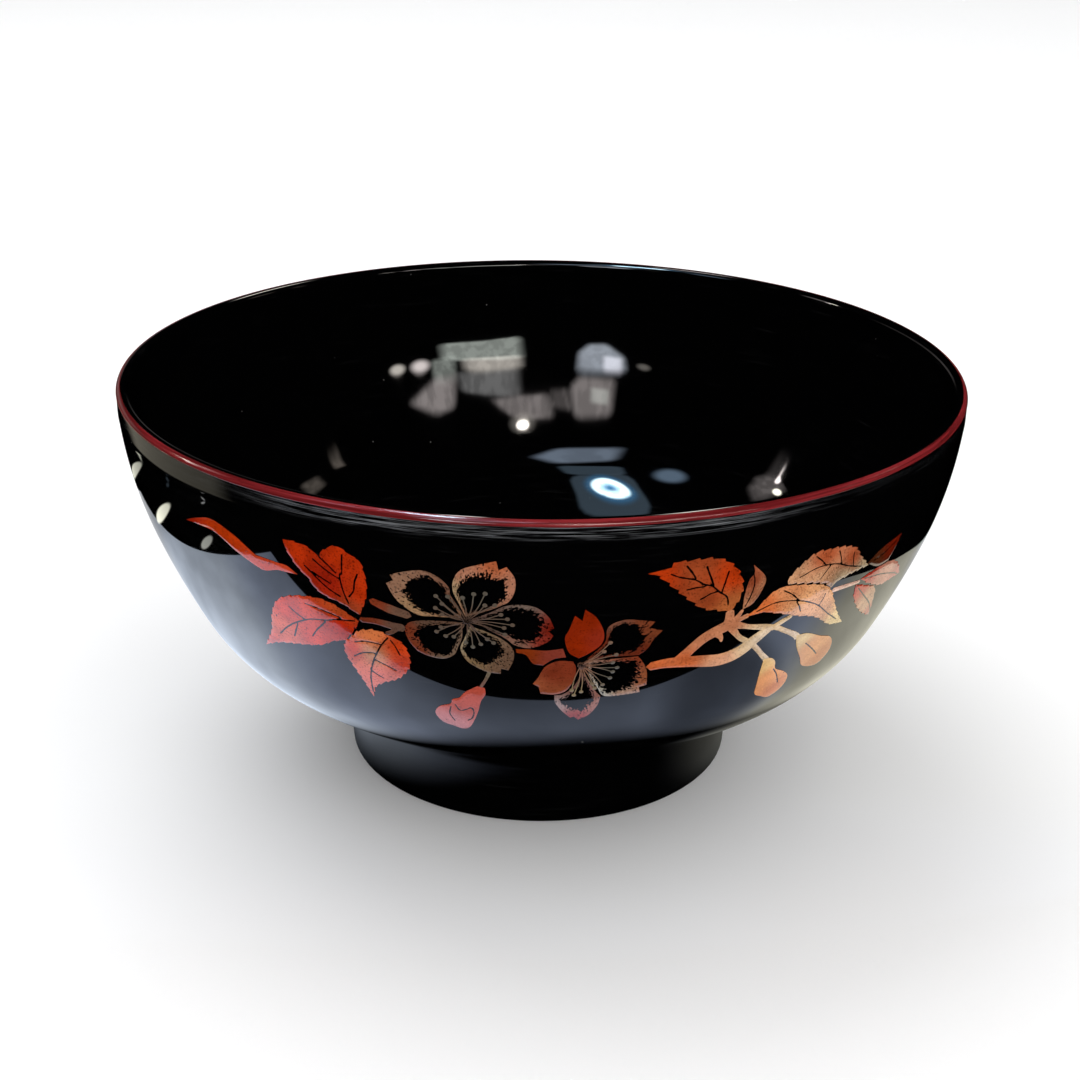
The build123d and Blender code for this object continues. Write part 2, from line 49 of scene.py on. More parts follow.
COAT = 0.3
FILM = 0.10
STAMEN_FILM = 0.07
LINE_FILM = 0.08
VEIN_DEPTH = 0.025        # how deep a vein is in its film
VEIN_REACH = 0.25         # how far from its middle a vein's groove reaches
OUTER_START = (37.8, 15.0)
OUTER_SLOPE = 18.0
OUTER_ARCS = [(55.0, 38.5), (33.0, 63.0), (150.0, 69.0), (72.0, 85.0)]
INNER_START = (0.0, 13.6)
INNER_SLOPE = 0.0
INNER_ARCS = [(130.0, 16.0), (51.5, 38.5), (30.0, 63.0), (160.0, 68.5), (67.8, 86.5)]
LIP_CENTRE = (73.8, 72.9)
LIP_RADIUS = 1.12
BEAD_BLEND = 1.3          # the coat softens the small shoulder under the straight edge of the lip
BEAD_GAP = 0.3            # from the top of the shoulder to the first ring of that edge
LINE_LOW_Z = 73.05
LINE_END = 68.0
FOOT_EDGE_INNER = 31.5
FOOT_EDGE_OUTER = 35.9
FOOT_FLARE = 0.075
FOOT_ROUND = 0.6
FOOT_HOLLOW = 5.0
RECESS_TOP_RADIUS = 31.0
RECESS_DEPTH = 8.0
RECESS_FILLET = 1.5
WRAP_RADIUS = 70.0
TIP = True                # marks a corner of an outline

ARC_STEP = 0.9            # length of a profile segment on the walls
TURN_STEPS = 384          # segments round a turned mesh
FILLET_STEPS = 6
FOOT_STEPS = 8            # segments of the straight outside of the foot
HOLLOW_STEPS = 10         # segments of the hollow between foot and body
LIP_STEPS = 14            # segments over the crown of the lip
BEAD_STEPS = 8            # segments of the shoulder and of the straight edge above it
LINE_STEPS = 24           # segments across the red line
UNDER_RINGS = 30          # rings of the flat top of the recess
TURNED_SHARP = 40.0       # degrees between faces from which an edge is sharp
FILM_SHARP = 45.0
OUTLINE_STEP = 0.22       # length of a segment of a painted outline
STROKE_NOSE = 0.8         # how far a brush stroke's end stands out, in half widths
DISC_SIDES = 14
GRID_MARGIN = 0.45        # how far a film's grid keeps off its lines, as a share of its spacing
MERGE_WITHIN = 1e-4       # points of a film that are nearer than this become one
DISTANCE_BLOCK = 2000     # points whose distances are worked out at a time
FAR_AWAY = 9.0            # stands for the distance to a vein in a piece that has none

# ---- colours ------------------------------------------------------------------------------------


def colour(red, green, blue):
    """A display colour as the linear colour that the shaders take."""
    return tuple(
        (c / 12.92 if c <= 0.04045 else ((c + 0.055) / 1.055) ** 2.4)
        for c in (red / 255, green / 255, blue / 255)
    )


PALETTE = {
    "vermilion": colour(221, 64, 14),
    "deep_red": colour(190, 42, 16),
    "coral": colour(226, 74, 46),
    "rust": colour(188, 80, 42),
    "brown_red": colour(140, 66, 42),
    "orange": colour(228, 122, 68),
    "orange_gold": colour(222, 150, 108),
    "peach": colour(244, 184, 140),
    "tan": colour(184, 144, 110),
    "tan_dark": colour(150, 110, 82),
    "gold": colour(214, 178, 124),
    "pale_gold": colour(244, 220, 170),
    "cream": colour(246, 228, 190),
    # The pink is orange-red paint with a painted reflection of the pale table below on it; it sits at the
    # lower ends of pieces.
    "reflected_pink": colour(240, 118, 98),
    "grey_gold": colour(150, 134, 108),
}

# ---- the painting: the same outlines as the CAD films -------------------------------------------

# Large blossom: five petals round its centre, listed clockwise from the upper left.
LARGE_BLOSSOM_CENTRE = (-10.3, 57.2)
LARGE_PETALS = {
    "upper_left": [
        (-11.0, 57.7, TIP), (-15.0, 57.5), (-17.6, 57.5), (-19.9, 59.2), (-20.9, 60.6),
        (-21.7, 62.6, TIP), (-20.6, 63.3, TIP), (-21.0, 64.2, TIP), (-19.3, 64.9),
        (-16.3, 65.6), (-14.0, 64.7), (-12.6, 63.1), (-12.4, 61.7), (-11.3, 59.4),
    ],
    "top": [
        (-10.5, 58.0, TIP), (-11.3, 60.4), (-12.0, 62.4), (-11.9, 64.4), (-10.8, 66.3),
        (-8.2, 67.4), (-5.9, 68.1, TIP), (-5.6, 66.6, TIP), (-4.5, 67.2, TIP), (-3.4, 65.3),
        (-3.4, 63.2), (-4.2, 61.3), (-5.4, 60.4), (-7.6, 59.2),
    ],
    "right": [
        (-9.6, 57.6, TIP), (-7.0, 59.0), (-4.9, 60.3), (-2.7, 60.7), (-0.4, 60.2), (1.3, 58.5),
        (2.1, 56.4, TIP), (1.4, 55.7, TIP), (2.0, 54.9, TIP), (1.4, 53.8), (-0.2, 52.7),
        (-1.8, 52.3), (-3.6, 52.9), (-4.9, 54.2), (-7.2, 55.7),
    ],
    "bottom": [
        (-9.9, 56.2, TIP), (-10.9, 53.6), (-11.6, 51.7), (-11.3, 49.9), (-10.4, 48.4),
        (-8.1, 46.8), (-5.8, 46.4, TIP), (-5.7, 47.6, TIP), (-4.6, 47.3, TIP), (-3.8, 49.6),
        (-3.8, 51.9), (-5.2, 53.8), (-7.4, 55.2),
    ],
    "lower_left": [
        (-11.0, 56.8, TIP), (-14.5, 56.7), (-17.5, 56.3), (-19.3, 55.4), (-19.8, 53.8),
        (-19.3, 51.6), (-18.3, 49.9, TIP), (-16.6, 49.1), (-14.4, 48.9), (-12.7, 50.0),
        (-12.0, 51.6), (-11.2, 53.9),
    ],
}

# Small blossom, half turned away: two full petals and the lip of the cup on the left, then three.
SMALL_BLOSSOM_CENTRE = (6.3, 48.6)
SMALL_PETALS = {
    "top": [
        (5.9, 50.1, TIP), (4.4, 51.4), (3.7, 54.2), (4.2, 55.9), (4.6, 57.3), (5.0, 58.7, TIP),
        (6.1, 57.7, TIP), (6.4, 59.8, TIP), (8.1, 58.2), (9.3, 55.3), (9.1, 53.0), (7.5, 51.2),
    ],
    "lower_left": [
        (5.1, 49.4, TIP), (2.8, 49.5), (0.9, 48.2), (-0.1, 45.8), (-0.9, 44.3, TIP), (0.0, 43.6, TIP),
        (0.3, 42.0, TIP), (2.6, 41.8), (4.4, 42.8), (5.5, 45.6), (5.6, 47.9),
    ],
    "upper_right": [
        (7.2, 49.9, TIP), (8.3, 51.3), (9.6, 53.4), (9.9, 56.3), (12.1, 57.5), (14.6, 57.2),
        (16.7, 56.7, TIP), (15.9, 55.6, TIP), (18.0, 54.8, TIP), (16.9, 53.2), (16.1, 51.2),
        (15.0, 50.1, TIP), (11.0, 50.1),
    ],
    "right": [
        (7.4, 49.4, TIP), (11.2, 49.6), (14.9, 49.8, TIP), (16.0, 48.1), (16.8, 45.9),
        (17.2, 42.9, TIP), (16.0, 42.6, TIP), (16.3, 41.3, TIP), (13.0, 40.9), (10.4, 41.1),
        (9.2, 43.2), (7.7, 46.4),
    ],
    "bottom": [
        (6.4, 47.0, TIP), (5.9, 44.6), (4.8, 42.6), (3.6, 41.6, TIP), (2.5, 41.5, TIP), (2.7, 39.7),
        (3.9, 37.5), (5.3, 35.8, TIP), (5.9, 36.0, TIP), (6.7, 35.2, TIP), (8.3, 36.3), (9.6, 38.7),
        (9.9, 41.0, TIP), (8.7, 42.8), (7.2, 46.0),
    ],
    "cup": [
        (-3.4, 52.0, TIP), (-1.6, 52.0), (0.9, 51.8), (3.5, 52.2, TIP), (4.0, 50.4, TIP),
        (2.2, 50.0), (0.6, 48.6, TIP), (-0.9, 49.0), (-1.9, 50.8), (-3.3, 51.3, TIP),
    ],
}

# Leaves and buds, each by its outline.
LEAVES = {
    "leaf_two_lobed": [
        (-26.7, 55.6, TIP), (-29.3, 57.2), (-31.9, 58.0), (-33.6, 59.2), (-34.4, 60.7), (-36.1, 62.5),
        (-37.5, 65.0), (-37.9, 66.7, TIP), (-35.9, 66.8), (-33.7, 66.4), (-31.9, 65.1, TIP),
        (-31.3, 66.3), (-29.0, 67.6), (-26.6, 66.4), (-25.3, 65.4), (-24.8, 61.9), (-25.3, 58.9),
    ],
    "leaf_left": [
        (-27.1, 54.3, TIP), (-28.6, 55.3), (-31.0, 56.7), (-34.0, 57.2), (-38.7, 56.2), (-42.0, 54.1),
        (-44.3, 50.3), (-46.0, 46.4), (-49.6, 41.8, TIP), (-46.0, 43.7), (-41.8, 45.1), (-36.0, 46.7),
        (-32.9, 48.5), (-30.4, 49.5, TIP), (-28.7, 51.6), (-27.8, 52.9),
    ],
    "leaf_hanging": [
        (-22.0, 52.1, TIP), (-24.4, 53.0), (-26.2, 52.8), (-27.7, 52.1), (-29.2, 50.5), (-30.6, 49.0),
        (-31.1, 46.3), (-30.2, 42.8), (-29.3, 39.9), (-28.6, 36.6, TIP), (-27.6, 39.3), (-25.9, 40.8),
        (-22.6, 42.8), (-20.4, 45.6), (-19.9, 48.4), (-20.5, 50.9),
    ],
    "leaf_edge_on": [
        (-59.8, 63.4, TIP), (-56.1, 65.0), (-52.4, 65.9), (-48.0, 64.7), (-43.9, 62.3, TIP),
        (-40.0, 62.1), (-38.0, 62.0), (-36.3, 60.9, TIP), (-38.3, 60.8), (-40.0, 60.7),
        (-42.4, 59.9), (-44.0, 60.1), (-48.0, 61.7), (-52.0, 63.7), (-56.1, 63.8),
    ],
    "leaf_top_right": [
        (28.0, 56.9, TIP), (26.4, 57.3), (23.9, 58.1), (21.8, 59.8), (19.2, 62.3), (16.6, 64.9),
        (14.9, 65.6, TIP), (18.2, 66.3, TIP), (18.4, 67.1, TIP), (21.3, 67.2), (24.7, 67.0),
        (27.3, 65.6), (29.0, 63.3), (29.7, 60.3), (28.9, 57.5),
    ],
    "leaf_small_upright": [
        (30.4, 56.7, TIP), (30.2, 59.2), (30.5, 62.0), (31.2, 63.3), (30.8, 64.8, TIP), (33.1, 62.3),
        (33.2, 60.3), (32.0, 57.6),
    ],
    "leaf_right_front": [
        (31.0, 55.0, TIP), (32.8, 56.1), (34.2, 57.9), (35.7, 59.1), (37.4, 59.4, TIP), (40.5, 58.8),
        (44.9, 57.5), (47.2, 55.9), (49.0, 53.2), (51.2, 50.0), (54.6, 46.3, TIP), (50.6, 47.4),
        (47.0, 50.0), (44.6, 51.3), (41.5, 52.4), (38.0, 53.9), (34.4, 55.2, TIP),
    ],
    "leaf_right_behind": [
        (37.6, 59.7, TIP), (37.5, 60.6), (38.7, 62.2), (41.6, 64.2), (44.4, 64.2), (47.7, 63.8),
        (50.5, 62.7), (52.4, 60.5), (55.2, 57.9, TIP), (53.0, 57.9), (50.8, 57.7), (48.0, 57.2, TIP),
        (47.1, 56.3, TIP), (45.0, 57.8), (40.6, 59.1),
    ],
    "leaf_far_up": [
        (54.8, 58.3, TIP), (57.2, 59.9), (60.2, 60.7), (63.0, 61.1, TIP), (62.3, 58.9), (61.3, 56.6, TIP),
        (58.2, 56.6),
    ],
    "leaf_far_right": [
        (54.4, 55.4, TIP), (58.0, 56.1), (62.5, 56.0), (66.2, 54.2), (70.0, 50.5, TIP), (66.0, 50.9),
        (62.4, 51.2), (58.0, 53.2),
    ],
    "leaf_far_down": [
        (53.6, 54.6, TIP), (57.2, 53.1), (60.5, 51.5), (62.6, 48.2), (65.0, 43.4, TIP), (60.4, 46.0),
        (56.8, 49.0), (54.4, 52.0),
    ],
}

BUDS = {
    "bud_hanging": [
        (-9.7, 43.1, TIP), (-11.7, 41.5), (-12.9, 39.9), (-14.1, 39.3), (-14.6, 38.1), (-16.6, 37.1),
        (-17.6, 35.2), (-16.6, 33.0), (-14.8, 32.2), (-13.3, 31.6), (-12.0, 32.2), (-11.0, 34.1),
        (-10.0, 36.9), (-9.4, 39.3), (-8.5, 41.3), (-8.5, 42.8, TIP),
    ],
    "bud_lower": [
        (38.0, 43.9, TIP), (39.6, 43.6), (40.9, 42.4), (41.9, 40.3), (44.6, 38.6), (46.4, 36.8),
        (46.7, 34.4), (45.4, 32.7), (43.8, 32.3), (41.7, 33.4), (39.9, 34.6), (39.2, 37.0),
        (38.5, 40.3),
    ],
    "bud_upper": [
        (43.3, 47.5, TIP), (46.1, 47.0), (50.1, 44.9), (53.2, 43.5), (55.2, 41.2), (55.8, 38.8),
        (54.6, 36.8), (52.2, 36.9), (49.0, 38.4), (47.2, 40.9), (45.2, 43.6), (44.0, 45.7),
    ],
}

# Stems, each a list of (u, s, width) along its middle. The stems of one film are joined in it.
STEMS = {
    "twig_behind_upper": [[(-24.3, 58.8, 1.2), (-21.9, 57.9, 1.7), (-19.0, 57.1, 1.4)]],
    "twig_behind_lower": [
        [(-26.6, 54.7, 1.0), (-24.2, 54.9, 1.1), (-21.5, 54.5, 1.4), (-20.1, 54.4, 1.5)],
        [(-20.9, 54.3, 0.9), (-22.0, 53.2, 0.8), (-22.8, 52.8, 0.7)],
    ],
    "stalk_hanging": [[(-7.6, 46.5, 0.6), (-8.2, 44.9, 0.5), (-9.1, 43.0, 0.5)]],
    "branch": [
        [(17.2, 47.2, 1.8), (20.0, 47.5, 2.2), (24.0, 47.1, 2.4), (28.7, 46.4, 2.7), (32.0, 47.3, 2.9),
         (34.4, 49.5, 2.5), (36.6, 51.4, 1.7)],
        [(21.8, 47.9, 2.3), (23.4, 50.2, 1.9), (25.0, 52.0, 2.0), (27.0, 53.2, 2.2), (29.2, 54.2, 2.2)],
        [(27.0, 52.6, 1.4), (27.8, 51.6, 0.9), (28.1, 50.7, 0.4)],
        [(28.7, 54.0, 2.2), (28.5, 55.4, 1.5), (28.3, 56.7, 1.3)],
        [(29.2, 54.4, 1.2), (30.0, 55.6, 0.9), (30.4, 56.5, 0.5)],
        [(29.2, 54.0, 1.4), (30.6, 54.8, 0.9), (31.6, 55.2, 0.9)],
        [(28.9, 53.8, 1.6), (31.0, 51.0, 0.9), (33.1, 49.3, 1.0), (35.0, 47.6, 0.9), (37.0, 45.3, 0.9),
         (38.6, 43.6, 1.1)],
        [(29.2, 54.0, 1.6), (32.4, 52.7, 0.9), (37.4, 51.2, 1.2), (40.0, 49.7, 0.9), (42.6, 48.0, 0.9),
         (43.7, 47.0, 1.2)],
        [(37.0, 51.1, 1.2), (38.6, 52.0, 1.1), (40.2, 52.7, 0.8)],
    ],
    "twig_far": [[(47.9, 55.5, 0.9), (51.0, 55.3, 0.8), (54.2, 55.0, 0.6)]],
}

# What each stem runs behind.
STEMS_BEHIND = {
    "twig_behind_upper": ["large_blossom_petal_upper_left"],
    "twig_behind_lower": ["large_blossom_petal_lower_left", "leaf_hanging", "leaf_left"],
    "stalk_hanging": ["large_blossom_petal_bottom", "bud_hanging"],
    "branch": ["bud_lower", "bud_upper", "leaf_right_front", "leaf_top_right", "leaf_small_upright"],
    "twig_far": ["leaf_right_front", "leaf_far_right"],
}


# Veins: lines of bare lacquer left in a leaf or a bud.
VEINS = {
    "leaf_two_lobed": [
        [(-31.9, 65.2), (-30.6, 64.0), (-29.5, 62.9)],
        [(-28.1, 66.3), (-28.3, 64.6), (-28.5, 63.0), (-28.9, 62.5), (-28.7, 59.7), (-28.2, 57.6)],
        [(-33.0, 64.5), (-31.6, 63.4), (-30.2, 62.5), (-29.0, 61.9)],
        [(-33.5, 62.2), (-32.0, 61.4), (-30.7, 60.7)],
        [(-26.0, 63.4), (-26.6, 61.9), (-27.0, 60.2), (-27.9, 58.9)],
        [(-34.6, 63.0), (-31.6, 60.0), (-29.4, 58.6)],
    ],
    "leaf_left": [
        [(-43.9, 46.6), (-42.0, 48.5), (-40.0, 50.1), (-38.6, 51.0), (-36.1, 52.3), (-34.1, 52.8),
         (-32.7, 53.1), (-30.9, 53.7), (-27.8, 54.2)],
        [(-36.1, 55.5), (-34.0, 55.2), (-32.1, 54.8), (-30.2, 54.3)],
        [(-39.6, 53.8), (-38.1, 52.6), (-36.9, 51.9)],
        [(-36.6, 48.6), (-35.4, 50.2), (-34.3, 51.4), (-33.2, 52.6)],
        [(-40.7, 47.2), (-39.8, 48.8), (-39.0, 50.3)],
    ],
    "leaf_hanging": [
        [(-28.3, 38.0), (-27.7, 42.0), (-26.5, 45.5), (-24.5, 49.5), (-22.8, 51.9)],
        [(-22.4, 51.4), (-21.8, 50.0), (-21.4, 48.4)],
        [(-29.6, 46.2), (-27.9, 47.4), (-25.9, 47.9)],
        [(-28.7, 49.6), (-26.9, 50.2), (-24.6, 50.2)],
        [(-22.6, 44.6), (-24.4, 45.6), (-26.1, 46.4)],
        [(-25.4, 42.2), (-26.6, 43.0), (-27.3, 43.8)],
    ],
    "leaf_top_right": [
        [(18.2, 65.2), (19.5, 64.5), (21.7, 63.8), (23.2, 62.8), (24.7, 62.1), (25.9, 60.9),
         (27.2, 59.8), (27.7, 58.2)],
        [(23.4, 65.8), (24.0, 64.3), (24.8, 62.3)],
        [(26.9, 64.4), (26.6, 62.7), (26.3, 60.9)],
        [(20.4, 66.3), (21.2, 65.2), (21.9, 64.0)],
        [(20.8, 62.1), (22.2, 62.3), (23.4, 62.3)],
        [(23.1, 60.0), (24.5, 60.8), (25.5, 61.0)],
    ],
    "leaf_small_upright": [[(31.0, 63.4), (31.5, 61.2), (31.2, 59.0), (30.7, 57.2)]],
    "leaf_right_front": [
        [(33.0, 55.7), (36.5, 56.6), (41.0, 55.6), (45.0, 53.6), (48.6, 50.6), (52.0, 48.0)],
        [(37.2, 58.6), (39.0, 57.4), (40.7, 55.8)],
        [(41.8, 53.2), (41.2, 54.4), (40.4, 55.5)],
        [(46.2, 55.4), (46.0, 54.2), (45.6, 53.2)],
    ],
    "leaf_right_behind": [
        [(39.6, 60.5), (43.0, 61.4), (46.5, 61.0), (50.0, 59.5), (53.2, 58.4)],
        [(42.0, 63.6), (43.2, 62.6), (44.3, 61.5)],
        [(46.6, 63.4), (47.2, 62.2), (47.8, 60.8)],
        [(50.2, 62.0), (50.4, 60.8), (50.8, 59.4)],
        [(44.0, 59.0), (44.8, 60.2), (45.4, 61.0)],
    ],
    "leaf_far_up": [[(56.4, 58.4), (59.0, 59.0), (61.8, 60.2)]],
    "leaf_far_right": [[(55.5, 55.2), (60.0, 54.3), (65.0, 52.6), (68.5, 51.0)]],
    "leaf_far_down": [[(54.6, 53.6), (58.0, 50.6), (61.6, 47.6), (64.0, 44.9)]],
    "bud_hanging": [
        [(-13.8, 38.1), (-13.1, 36.7), (-12.0, 37.1), (-11.0, 37.6), (-10.8, 36.2), (-11.3, 34.8),
         (-12.0, 34.2)],
        [(-14.6, 37.4), (-15.0, 35.6), (-14.4, 33.8)],
    ],
    "bud_lower": [[(41.4, 40.4), (43.0, 38.4), (44.4, 36.0)]],
    "bud_upper": [[(46.6, 44.6), (49.2, 42.4), (51.6, 40.2)]],
}

# Serrated leaves: length and depth of a tooth.
TEETH = {
    "leaf_two_lobed": (1.9, 0.22),
    "leaf_left": (2.1, 0.25),
    "leaf_hanging": (1.5, 0.34),
    "leaf_top_right": (1.9, 0.42),
    "leaf_right_front": (2.1, 0.24),
    "leaf_right_behind": (1.6, 0.40),
    "leaf_far_right": (2.4, 0.25),
    "leaf_far_down": (2.4, 0.25),
}

# A petal's powder is dense in a band along its edge and fades inwards in dots. The band is wide
# towards one direction and narrow elsewhere. Each row is that direction in degrees anticlockwise
# from +u, the wide and the narrow band, and how far the wide one fades.
POWDER = {
    "large_blossom_petal_upper_left": (178, 1.5, 0.175, 1.69),
    "large_blossom_petal_top": (78, 0.95, 0.325, 2.08),
    "large_blossom_petal_right": (-25, 0.625, 0.175, 1.95),
    "large_blossom_petal_bottom": (-52, 1.5, 0.15, 1.95),
    "large_blossom_petal_lower_left": (188, 0.95, 0.225, 1.95),
    "small_blossom_petal_upper_right": (-10, 0.75, 0.175, 1.82),
    "small_blossom_petal_right": (-28, 0.75, 0.175, 2.34),
    "small_blossom_petal_bottom": (-80, 1.1, 0.275, 1.56),
}

# Colours of the painting: each piece blends between the colours that lie nearest on the wall.
# The pink near the lower ends of leaves, buds and a petal is a painted reflection of the pale table below.
HUES = {
    "large_blossom_petal_upper_left": [
        (-21.0, 61.5, "tan"), (-17.0, 65.6, "tan"), (-12.6, 63.4, "tan_dark"), (-19.0, 58.4, "gold"),
    ],
    "large_blossom_petal_top": [
        (-6.2, 67.9, "orange"), (-10.6, 66.0, "orange_gold"), (-12.2, 63.0, "gold"),
        (-3.2, 64.0, "orange_gold"), (-8.0, 60.0, "tan_dark"),
    ],
    "large_blossom_petal_right": [
        (2.2, 56.0, "deep_red"), (0.8, 53.6, "coral"), (-2.4, 60.9, "tan"), (-3.4, 52.8, "orange_gold"),
        (-6.5, 57.0, "tan_dark"),
    ],
    "large_blossom_petal_bottom": [
        (-5.4, 46.6, "tan"), (-10.6, 48.4, "gold"), (-4.0, 50.6, "tan"), (-11.4, 52.0, "pale_gold"),
    ],
    "large_blossom_petal_lower_left": [
        (-19.8, 54.0, "rust"), (-18.4, 50.2, "rust"), (-14.4, 49.0, "tan"), (-12.0, 52.0, "tan"),
        (-16.0, 56.6, "tan_dark"),
    ],
    "small_blossom_petal_top": [(6.4, 57.6, "vermilion"), (5.0, 53.0, "vermilion"), (9.0, 54.0, "coral")],
    "small_blossom_petal_lower_left": [
        (2.4, 46.6, "rust"), (-0.6, 44.4, "orange"), (3.0, 42.0, "orange"), (5.2, 48.0, "rust"),
    ],
    "small_blossom_petal_upper_right": [
        (17.4, 54.8, "orange"), (15.4, 57.0, "orange"), (11.0, 57.0, "orange_gold"), (9.4, 53.4, "rust"),
        (15.6, 50.6, "rust"),
    ],
    "small_blossom_petal_right": [
        (16.8, 45.0, "orange"), (13.4, 41.0, "peach"), (10.0, 42.0, "cream"), (15.0, 49.4, "rust"),
    ],
    "small_blossom_petal_bottom": [
        (6.0, 35.8, "reflected_pink"), (3.0, 39.6, "cream"), (9.4, 39.6, "peach"), (5.0, 43.0, "tan"),
    ],
    "small_blossom_petal_cup": [(-2.4, 51.6, "vermilion"), (2.8, 51.0, "coral")],
    "large_blossom_stamens": [
        (-10.3, 57.2, "tan_dark"), (-10.3, 62.6, "grey_gold"), (-10.3, 51.6, "grey_gold"),
    ],
    "small_blossom_stamens": [(6.3, 48.6, "orange_gold"), (11.0, 46.6, "grey_gold"), (6.0, 42.0, "gold")],
    "leaf_two_lobed": [
        (-37.0, 66.0, "vermilion"), (-31.0, 61.0, "deep_red"), (-28.0, 66.5, "vermilion"),
        (-26.0, 60.0, "vermilion"), (-27.4, 56.4, "rust"),
    ],
    "leaf_left": [
        (-48.0, 43.0, "coral"), (-40.0, 53.6, "coral"), (-36.0, 48.0, "coral"), (-30.4, 53.0, "deep_red"),
        (-30.0, 55.6, "rust"), (-42.0, 48.0, "reflected_pink"),
    ],
    "leaf_hanging": [
        (-21.6, 50.0, "vermilion"), (-21.4, 46.4, "coral"), (-26.0, 47.6, "orange_gold"),
        (-29.6, 48.0, "coral"), (-28.6, 38.6, "reflected_pink"), (-25.4, 42.4, "reflected_pink"), (-25.0, 52.2, "orange"),
    ],
    "leaf_edge_on": [(-58.0, 63.8, "deep_red"), (-50.0, 64.4, "vermilion"), (-40.0, 61.3, "coral")],
    "leaf_top_right": [
        (16.6, 65.4, "vermilion"), (22.0, 65.8, "rust"), (27.6, 63.6, "vermilion"), (24.0, 60.4, "rust"),
        (28.2, 57.8, "orange"),
    ],
    "leaf_small_upright": [(31.6, 61.6, "rust"), (32.8, 61.0, "orange_gold"), (30.6, 57.4, "orange_gold")],
    "leaf_right_front": [
        (34.0, 56.2, "orange"), (38.0, 58.6, "orange_gold"), (42.0, 54.4, "peach"), (47.0, 52.6, "peach"),
        (53.0, 47.4, "pale_gold"),
    ],
    "leaf_right_behind": [
        (38.6, 61.0, "orange_gold"), (44.0, 63.0, "rust"), (50.0, 61.0, "rust"), (54.2, 58.4, "tan"),
        (44.0, 59.4, "orange_gold"), (49.0, 58.0, "tan"),
    ],
    "leaf_far_up": [(56.0, 57.6, "brown_red"), (62.0, 60.0, "deep_red")],
    "leaf_far_right": [(56.0, 55.4, "coral"), (62.0, 54.0, "peach"), (69.0, 50.8, "reflected_pink")],
    "leaf_far_down": [(55.0, 53.6, "coral"), (60.0, 49.0, "peach"), (64.6, 44.0, "reflected_pink")],
    "bud_hanging": [(-9.2, 41.6, "coral"), (-13.0, 38.0, "coral"), (-14.6, 33.6, "reflected_pink")],
    "bud_lower": [(38.8, 42.8, "cream"), (41.4, 38.4, "peach"), (44.6, 34.4, "orange_gold")],
    "bud_upper": [(44.6, 46.4, "cream"), (48.6, 42.6, "peach"), (53.6, 38.8, "orange_gold")],
    "twig_behind_upper": [(-24.0, 58.8, "rust"), (-20.0, 57.4, "tan_dark")],
    "twig_behind_lower": [(-26.0, 54.8, "rust"), (-20.4, 54.4, "tan_dark")],
    "stalk_hanging": [(-7.6, 46.4, "gold"), (-9.0, 43.2, "orange_gold")],
    "branch": [
        (17.4, 47.2, "orange"), (23.0, 47.4, "orange"), (29.0, 46.4, "peach"), (34.6, 49.6, "cream"),
        (24.6, 51.8, "orange_gold"), (29.0, 54.2, "orange_gold"), (33.0, 49.3, "pale_gold"),
        (38.6, 43.6, "cream"), (38.0, 51.2, "pale_gold"), (43.4, 47.0, "cream"),
    ],
    "twig_far": [(48.4, 55.5, "peach"), (53.8, 55.0, "peach")],
}

# Anthers of the two blossoms, each at the end of a filament from the centre.
LARGE_ANTHERS = [
    (-14.5, 61.4), (-12.8, 61.5), (-13.7, 60.1), (-14.7, 59.2), (-13.8, 58.1), (-10.7, 61.5),
    (-9.1, 62.3), (-7.5, 62.5), (-7.6, 60.4), (-6.2, 60.5), (-5.4, 58.8), (-4.5, 58.0),
    (-3.8, 56.9), (-5.0, 56.3), (-4.9, 55.0), (-6.6, 53.2), (-7.5, 53.9), (-8.5, 52.8),
    (-9.7, 52.1), (-10.7, 52.9), (-12.4, 53.9), (-13.6, 53.9), (-14.9, 54.6), (-14.2, 55.6),
]
SMALL_ANTHERS = [
    (10.4, 53.2), (11.5, 50.6), (11.1, 48.9), (11.9, 47.7), (11.3, 46.8), (11.0, 45.4),
    (8.4, 44.1), (8.8, 43.1), (6.7, 42.4), (5.6, 41.6), (5.2, 42.8), (10.0, 43.9), (9.6, 51.4),
]

